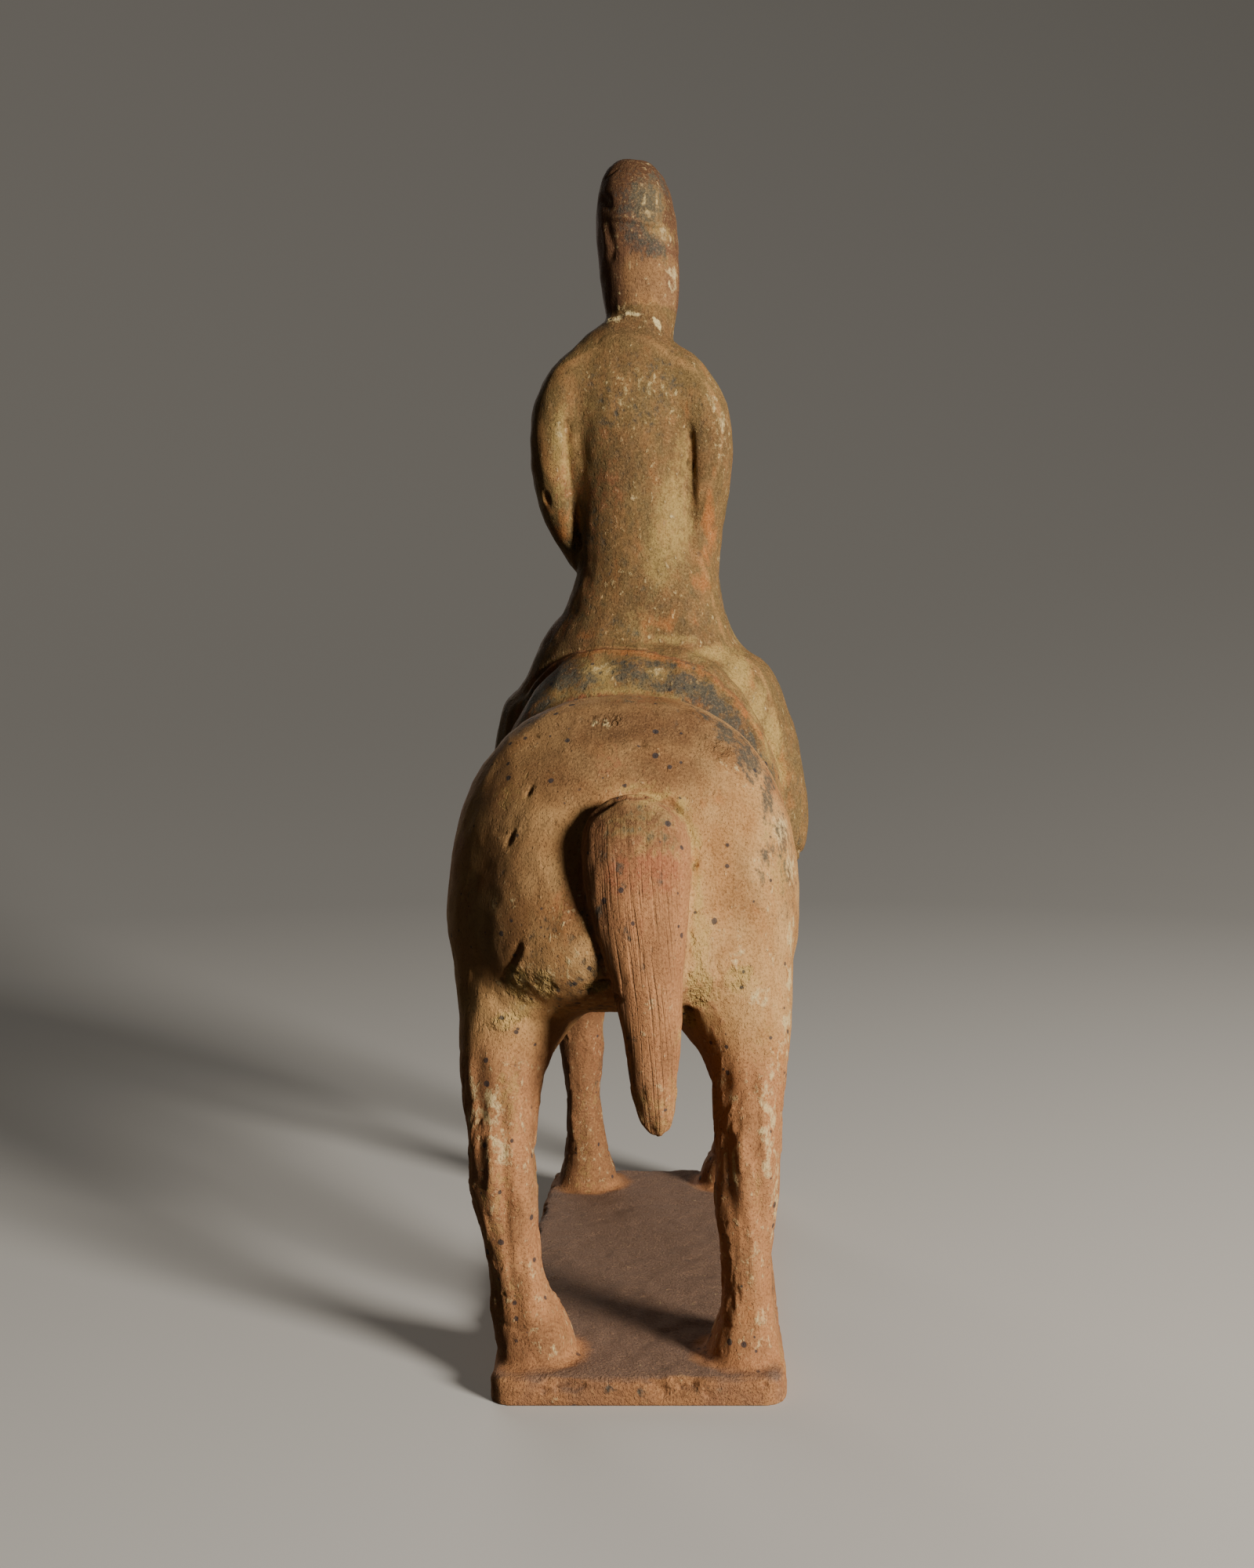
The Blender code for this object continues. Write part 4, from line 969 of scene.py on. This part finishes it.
    # open pits in the grit, deeper where the clay is torn and on the slab, with the
    # scrapes and the hair strokes
    masks["clouds"] = clouds
    height = 0.0
    for mask, pattern, low, high, stands in GRAINS:
        grain = add_node(tree, "ShaderNodeMapRange", {
            "Value": blotches[pattern], 1: low, 2: high, 4: stands})
        if mask:
            grain = add_node(tree, "ShaderNodeMath", {
                "operation": "MULTIPLY", 0: grain, 1: masks[mask]})
        height = add_node(tree, "ShaderNodeMath", {"operation": "ADD", 0: grain, 1: height})
    bump = add_node(tree, "ShaderNodeBump", {"Strength": 1.0, "Distance": MM, "Height": height})

    roughness = add_node(tree, "ShaderNodeMapRange", {"Value": clouds, 3: 0.78, 4: 0.92})
    shader = add_node(tree, "ShaderNodeBsdfPrincipled", {
        "Base Color": colour, "Roughness": roughness, "Normal": bump,
        "Metallic": 0.0, "IOR": 1.5, "Specular IOR Level": 0.25})
    add_node(tree, "ShaderNodeOutputMaterial", {"Surface": shader}, out=None)
    return material


# Sizes and colours that a user would change

class FigureSizes(bpy.types.PropertyGroup):
    """The sizes of the clay's relief."""

    grain: FloatProperty(
        name="Grain", description="Finest form that the clay's mesh holds before thinning",
        default=0.62 * MM, min=0.3 * MM, max=3 * MM, unit="LENGTH")
    triangles: IntProperty(
        name="Triangles", description="Triangles of the finished mesh",
        default=194000, min=20000, max=199000)
    stroke_spacing: FloatProperty(
        name="Tail stroke spacing", description="Distance between the tail's hair strokes",
        default=1.35 * MM, min=0.5 * MM, max=5 * MM, unit="LENGTH")
    stroke_depth: FloatProperty(
        name="Tail stroke depth", description="Depth of the tail's hair strokes",
        default=0.36 * MM, min=0.0, max=2 * MM, unit="LENGTH")
    hem_depth: FloatProperty(
        name="Hem crease", description="Depth of the crease under the robe's hem",
        default=0.9 * MM, min=0.0, max=3 * MM, unit="LENGTH")
    chip_depth: FloatProperty(
        name="Chip depth", description="Depth of the chips along the slab's edge",
        default=1.8 * MM, min=0.0, max=4 * MM, unit="LENGTH")


def colour_property(name, description, hex_colour):
    """A colour that a user can change."""
    return FloatVectorProperty(name=name, description=description, subtype="COLOR", size=4,
                               min=0.0, max=1.0, default=linear(hex_colour))


class FigureColours(bpy.types.PropertyGroup):
    """The colours of the clay and of what is left on it."""

    clay: colour_property("Clay", "Fired orange clay", "#A27243")
    clay_pale: colour_property("Pale clay", "Paler clouds in the clay and worn ridges", "#C19762")
    clay_deep: colour_property("Deep clay", "Darker grains in the clay", "#5B3818")
    pink_clay: colour_property("Pink clay", "Pinkish clay of legs and tail", "#A77049")
    hood_brown: colour_property("Hood brown", "Brownish clay of the hood", "#6B4833")
    ochre_slip: colour_property("Ochre slip", "Worn brownish-yellow slip on the robe", "#6B5632")
    orange_slip: colour_property("Orange slip", "Worn orange paint", "#AE6833")
    red_paint: colour_property("Red paint", "Worn pink-red paint", "#95573A")
    cream_slip: colour_property("Cream slip", "Remains of cream slip", "#D3BD88")
    yellow_earth: colour_property("Yellow earth", "Yellow burial earth", "#B19456")
    grey_pigment: colour_property("Grey pigment", "Grey-black paint remains", "#45453D")
    # Mauve-brown stain, also the painted shade on the side away from the light and on the fore legs
    brown_stain_and_shade: colour_property("Brown stain", "Mauve-brown stain", "#543924")
    slab_dust: colour_property("Slab dust", "Mauve-brown dust on the slab", "#816654")
    # Painted shade laid into the hollows
    hollow_shade: colour_property("Hollow brown", "Dirt in the hollows", "#3A2214")
    speck: colour_property("Speck", "Soot and manganese specks", "#2A2C31")


class StageSizes(bpy.types.PropertyGroup):
    """The studio's sizes."""

    floor_radius: FloatProperty(
        name="Floor radius", description="From the figure to where the backdrop rises",
        default=1.1, min=1.0, max=20.0, unit="LENGTH")
    wall_height: FloatProperty(
        name="Backdrop height", description="Height of the backdrop all round",
        default=2.2, min=0.5, max=20.0, unit="LENGTH")
    eye: FloatVectorProperty(
        name="Eye", description="Where the camera stands", size=3,
        default=(0.0181, -0.5456, 0.1972), subtype="TRANSLATION", unit="LENGTH")
    lens: FloatProperty(
        name="Lens", description="Focal length in mm on a 36 mm sensor",
        default=36.0, min=10.0, max=200.0)
    frame_shift: FloatVectorProperty(
        name="Frame shift", description="Sideways and upward shift of the frame", size=2,
        default=(-0.0475, -0.047))
    key_power: FloatProperty(
        name="Key light", description="Power of the large soft light in watts",
        default=38.0, min=0.0, max=500.0)
    sky_strength: FloatProperty(
        name="Sky", description="Strength of the even light from above",
        default=0.045, min=0.0, max=5.0)


# The backdrop: its curve in floor radii, the degrees between its rings, and its sides
BACKDROP_CURVE = 1.5
RING_DEGREES = 6
BACKDROP_SIDES = 96

# Warm white of the lamps, and the height in metres that they are aimed at
LAMP_COLOUR = (1.0, 0.96, 0.9)
AIM_HEIGHT = 0.18

# Lights: name, kind, place in metres, breadth (metres across, or radians for a far one)
# and share of the key light's power
LIGHTS = [
    ("key", "AREA", (1.0, -0.95, 0.47), 0.38, 1.0),
    ("front", "SUN", (-0.6, 1.6, 0.9), 0.6, 0.024),
]


# Pieces

class FIGURE_OT_clay(bpy.types.Operator):
    """Makes the figure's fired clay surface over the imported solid"""

    bl_idname = "figure.clay"
    bl_label = "Clay figure"

    def execute(self, context):
        sizes = context.scene.figure_sizes
        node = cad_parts[NODE]
        shape = bmesh.new()
        shape.from_mesh(node.data)
        bmesh.ops.remove_doubles(shape, verts=shape.verts, dist=MERGE_DISTANCE)
        for place, radii, turn, middle in LUMPS:
            for where in both_sides(place, middle):
                add_lump(shape, where[0], radii, turn)
        mesh = bpy.data.meshes.new(PIECE)
        shape.to_mesh(mesh)
        shape.free()
        piece = bpy.data.objects.new(PIECE, mesh)
        context.scene.collection.objects.link(piece)

        join = piece.modifiers.new("join the clay", "REMESH")
        join.mode = "VOXEL"
        join.voxel_size = sizes.grain * 1.0
        mesh = applied(piece)

        points, _ = mesh_arrays(mesh)
        set_points(mesh, even_out(points, edge_array(mesh), SMOOTHING_PASSES))
        points, normals = mesh_arrays(mesh)
        points += normals * relief(points, normals, sizes)[:, None]
        lo, hi = (np.array(corner) / MM for corner in CAD_BOX)
        set_points(mesh, np.clip(points, lo, hi))

        # the joined mesh has four-sided faces, each of them two triangles
        thin = piece.modifiers.new("fewer faces", "DECIMATE")
        thin.ratio = min(1.0, sizes.triangles / (2.0 * len(mesh.polygons)))
        thin.use_collapse_triangulate = True
        mesh = applied(piece)
        points, normals = mesh_arrays(mesh)
        set_points(mesh, np.clip(points, lo, hi))

        hollows = hollowness(points, normals, edge_array(mesh))
        for name, values in surface_masks(points, normals, hollows).items():
            layer = mesh.attributes.new(name, "FLOAT", "POINT")
            layer.data.foreach_set("value", np.ascontiguousarray(values, dtype=np.float32))
        for face in mesh.polygons:
            face.use_smooth = True
        mesh.materials.clear()
        mesh.materials.append(clay_material(context.scene.figure_colours))

        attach(piece, "root")
        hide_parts(NODE)
        return {"FINISHED"}


class FIGURE_OT_stage(bpy.types.Operator):
    """Makes the pale floor that curves up all round, the soft light and the camera"""

    bl_idname = "figure.stage"
    bl_label = "Stage"

    def execute(self, context):
        sizes = context.scene.stage_sizes
        curve = BACKDROP_CURVE * sizes.floor_radius
        shape = bmesh.new()
        profile = [(0.0, 0.0), (sizes.floor_radius, 0.0)]
        profile += [(sizes.floor_radius + curve * sin(radians(a)), curve * (1 - cos(radians(a))))
                    for a in range(RING_DEGREES, 91, RING_DEGREES)]
        profile.append((sizes.floor_radius + curve, curve + sizes.wall_height))
        verts = [shape.verts.new((0.0, out, up)) for out, up in profile]
        edges = [shape.edges.new(pair) for pair in zip(verts, verts[1:])]
        bmesh.ops.spin(shape, geom=verts + edges, axis=(0.0, 0.0, 1.0), angle=2 * pi,
                       steps=BACKDROP_SIDES, use_merge=True)
        bmesh.ops.remove_doubles(shape, verts=shape.verts, dist=10 * MERGE_DISTANCE)
        bmesh.ops.recalc_face_normals(shape, faces=shape.faces)
        mesh = bpy.data.meshes.new("floor")
        shape.to_mesh(mesh)
        shape.free()
        for face in mesh.polygons:
            face.use_smooth = True
        floor = bpy.data.objects.new("floor", mesh)
        context.scene.collection.objects.link(floor)
        material = bpy.data.materials.new("matt_pale_board")
        material.use_nodes = True
        tree = material.node_tree
        tree.nodes.clear()
        shader = add_node(tree, "ShaderNodeBsdfDiffuse", {"Color": linear("#CFCBC4")})
        add_node(tree, "ShaderNodeOutputMaterial", {"Surface": shader}, out=None)
        mesh.materials.append(material)
        floor.visible_diffuse = False
        floor.visible_shadow = False

        world = bpy.data.worlds.new("soft_studio")
        world.use_nodes = True
        world.node_tree.nodes["Background"].inputs["Color"].default_value = linear("#DCD9D4")
        world.node_tree.nodes["Background"].inputs["Strength"].default_value = sizes.sky_strength
        context.scene.world = world

        for name, kind, place, breadth, share in LIGHTS:
            data = bpy.data.lights.new(name, kind)
            if kind == "AREA":
                data.shape = "DISK"
                data.size = breadth
            else:
                data.angle = breadth
            data.energy = share * sizes.key_power
            data.color = LAMP_COLOUR
            light = bpy.data.objects.new(name, data)
            light.location = place
            aim = Vector((0.0, 0.0, AIM_HEIGHT)) - light.location
            light.rotation_euler = aim.to_track_quat("-Z", "Y").to_euler()
            context.scene.collection.objects.link(light)

        data = bpy.data.cameras.new("camera")
        data.lens = sizes.lens
        data.sensor_width = 36.0
        data.shift_x, data.shift_y = sizes.frame_shift
        data.clip_start = 0.01
        camera = bpy.data.objects.new("camera", data)
        camera.location = sizes.eye
        camera.rotation_euler = (pi / 2, 0.0, 0.0)
        context.scene.collection.objects.link(camera)
        context.scene.camera = camera
        return {"FINISHED"}


class FIGURE_PT_panel(bpy.types.Panel):
    """Lists the figure's sizes, colours and steps"""

    bl_idname = "FIGURE_PT_panel"
    bl_label = "Horse and rider"
    bl_space_type = "VIEW_3D"
    bl_region_type = "UI"
    bl_category = "Figure"

    def draw(self, context):
        scene = context.scene
        for group in (scene.figure_sizes, scene.figure_colours, scene.stage_sizes):
            box = self.layout.box()
            for name in group.__annotations__:
                box.prop(group, name)
        for operator in (FIGURE_OT_clay, FIGURE_OT_stage):
            self.layout.operator(operator.bl_idname)


CLASSES = (FigureSizes, FigureColours, StageSizes, FIGURE_OT_clay, FIGURE_OT_stage,
           FIGURE_PT_panel)


def register():
    for cls in CLASSES:
        bpy.utils.register_class(cls)
    bpy.types.Scene.figure_sizes = PointerProperty(type=FigureSizes)
    bpy.types.Scene.figure_colours = PointerProperty(type=FigureColours)
    bpy.types.Scene.stage_sizes = PointerProperty(type=StageSizes)


def unregister():
    del bpy.types.Scene.stage_sizes
    del bpy.types.Scene.figure_colours
    del bpy.types.Scene.figure_sizes
    for cls in reversed(CLASSES):
        bpy.utils.unregister_class(cls)


def main():
    register()
    bpy.ops.figure.clay()
    bpy.ops.figure.stage()


if __name__ == "__main__":
    main()
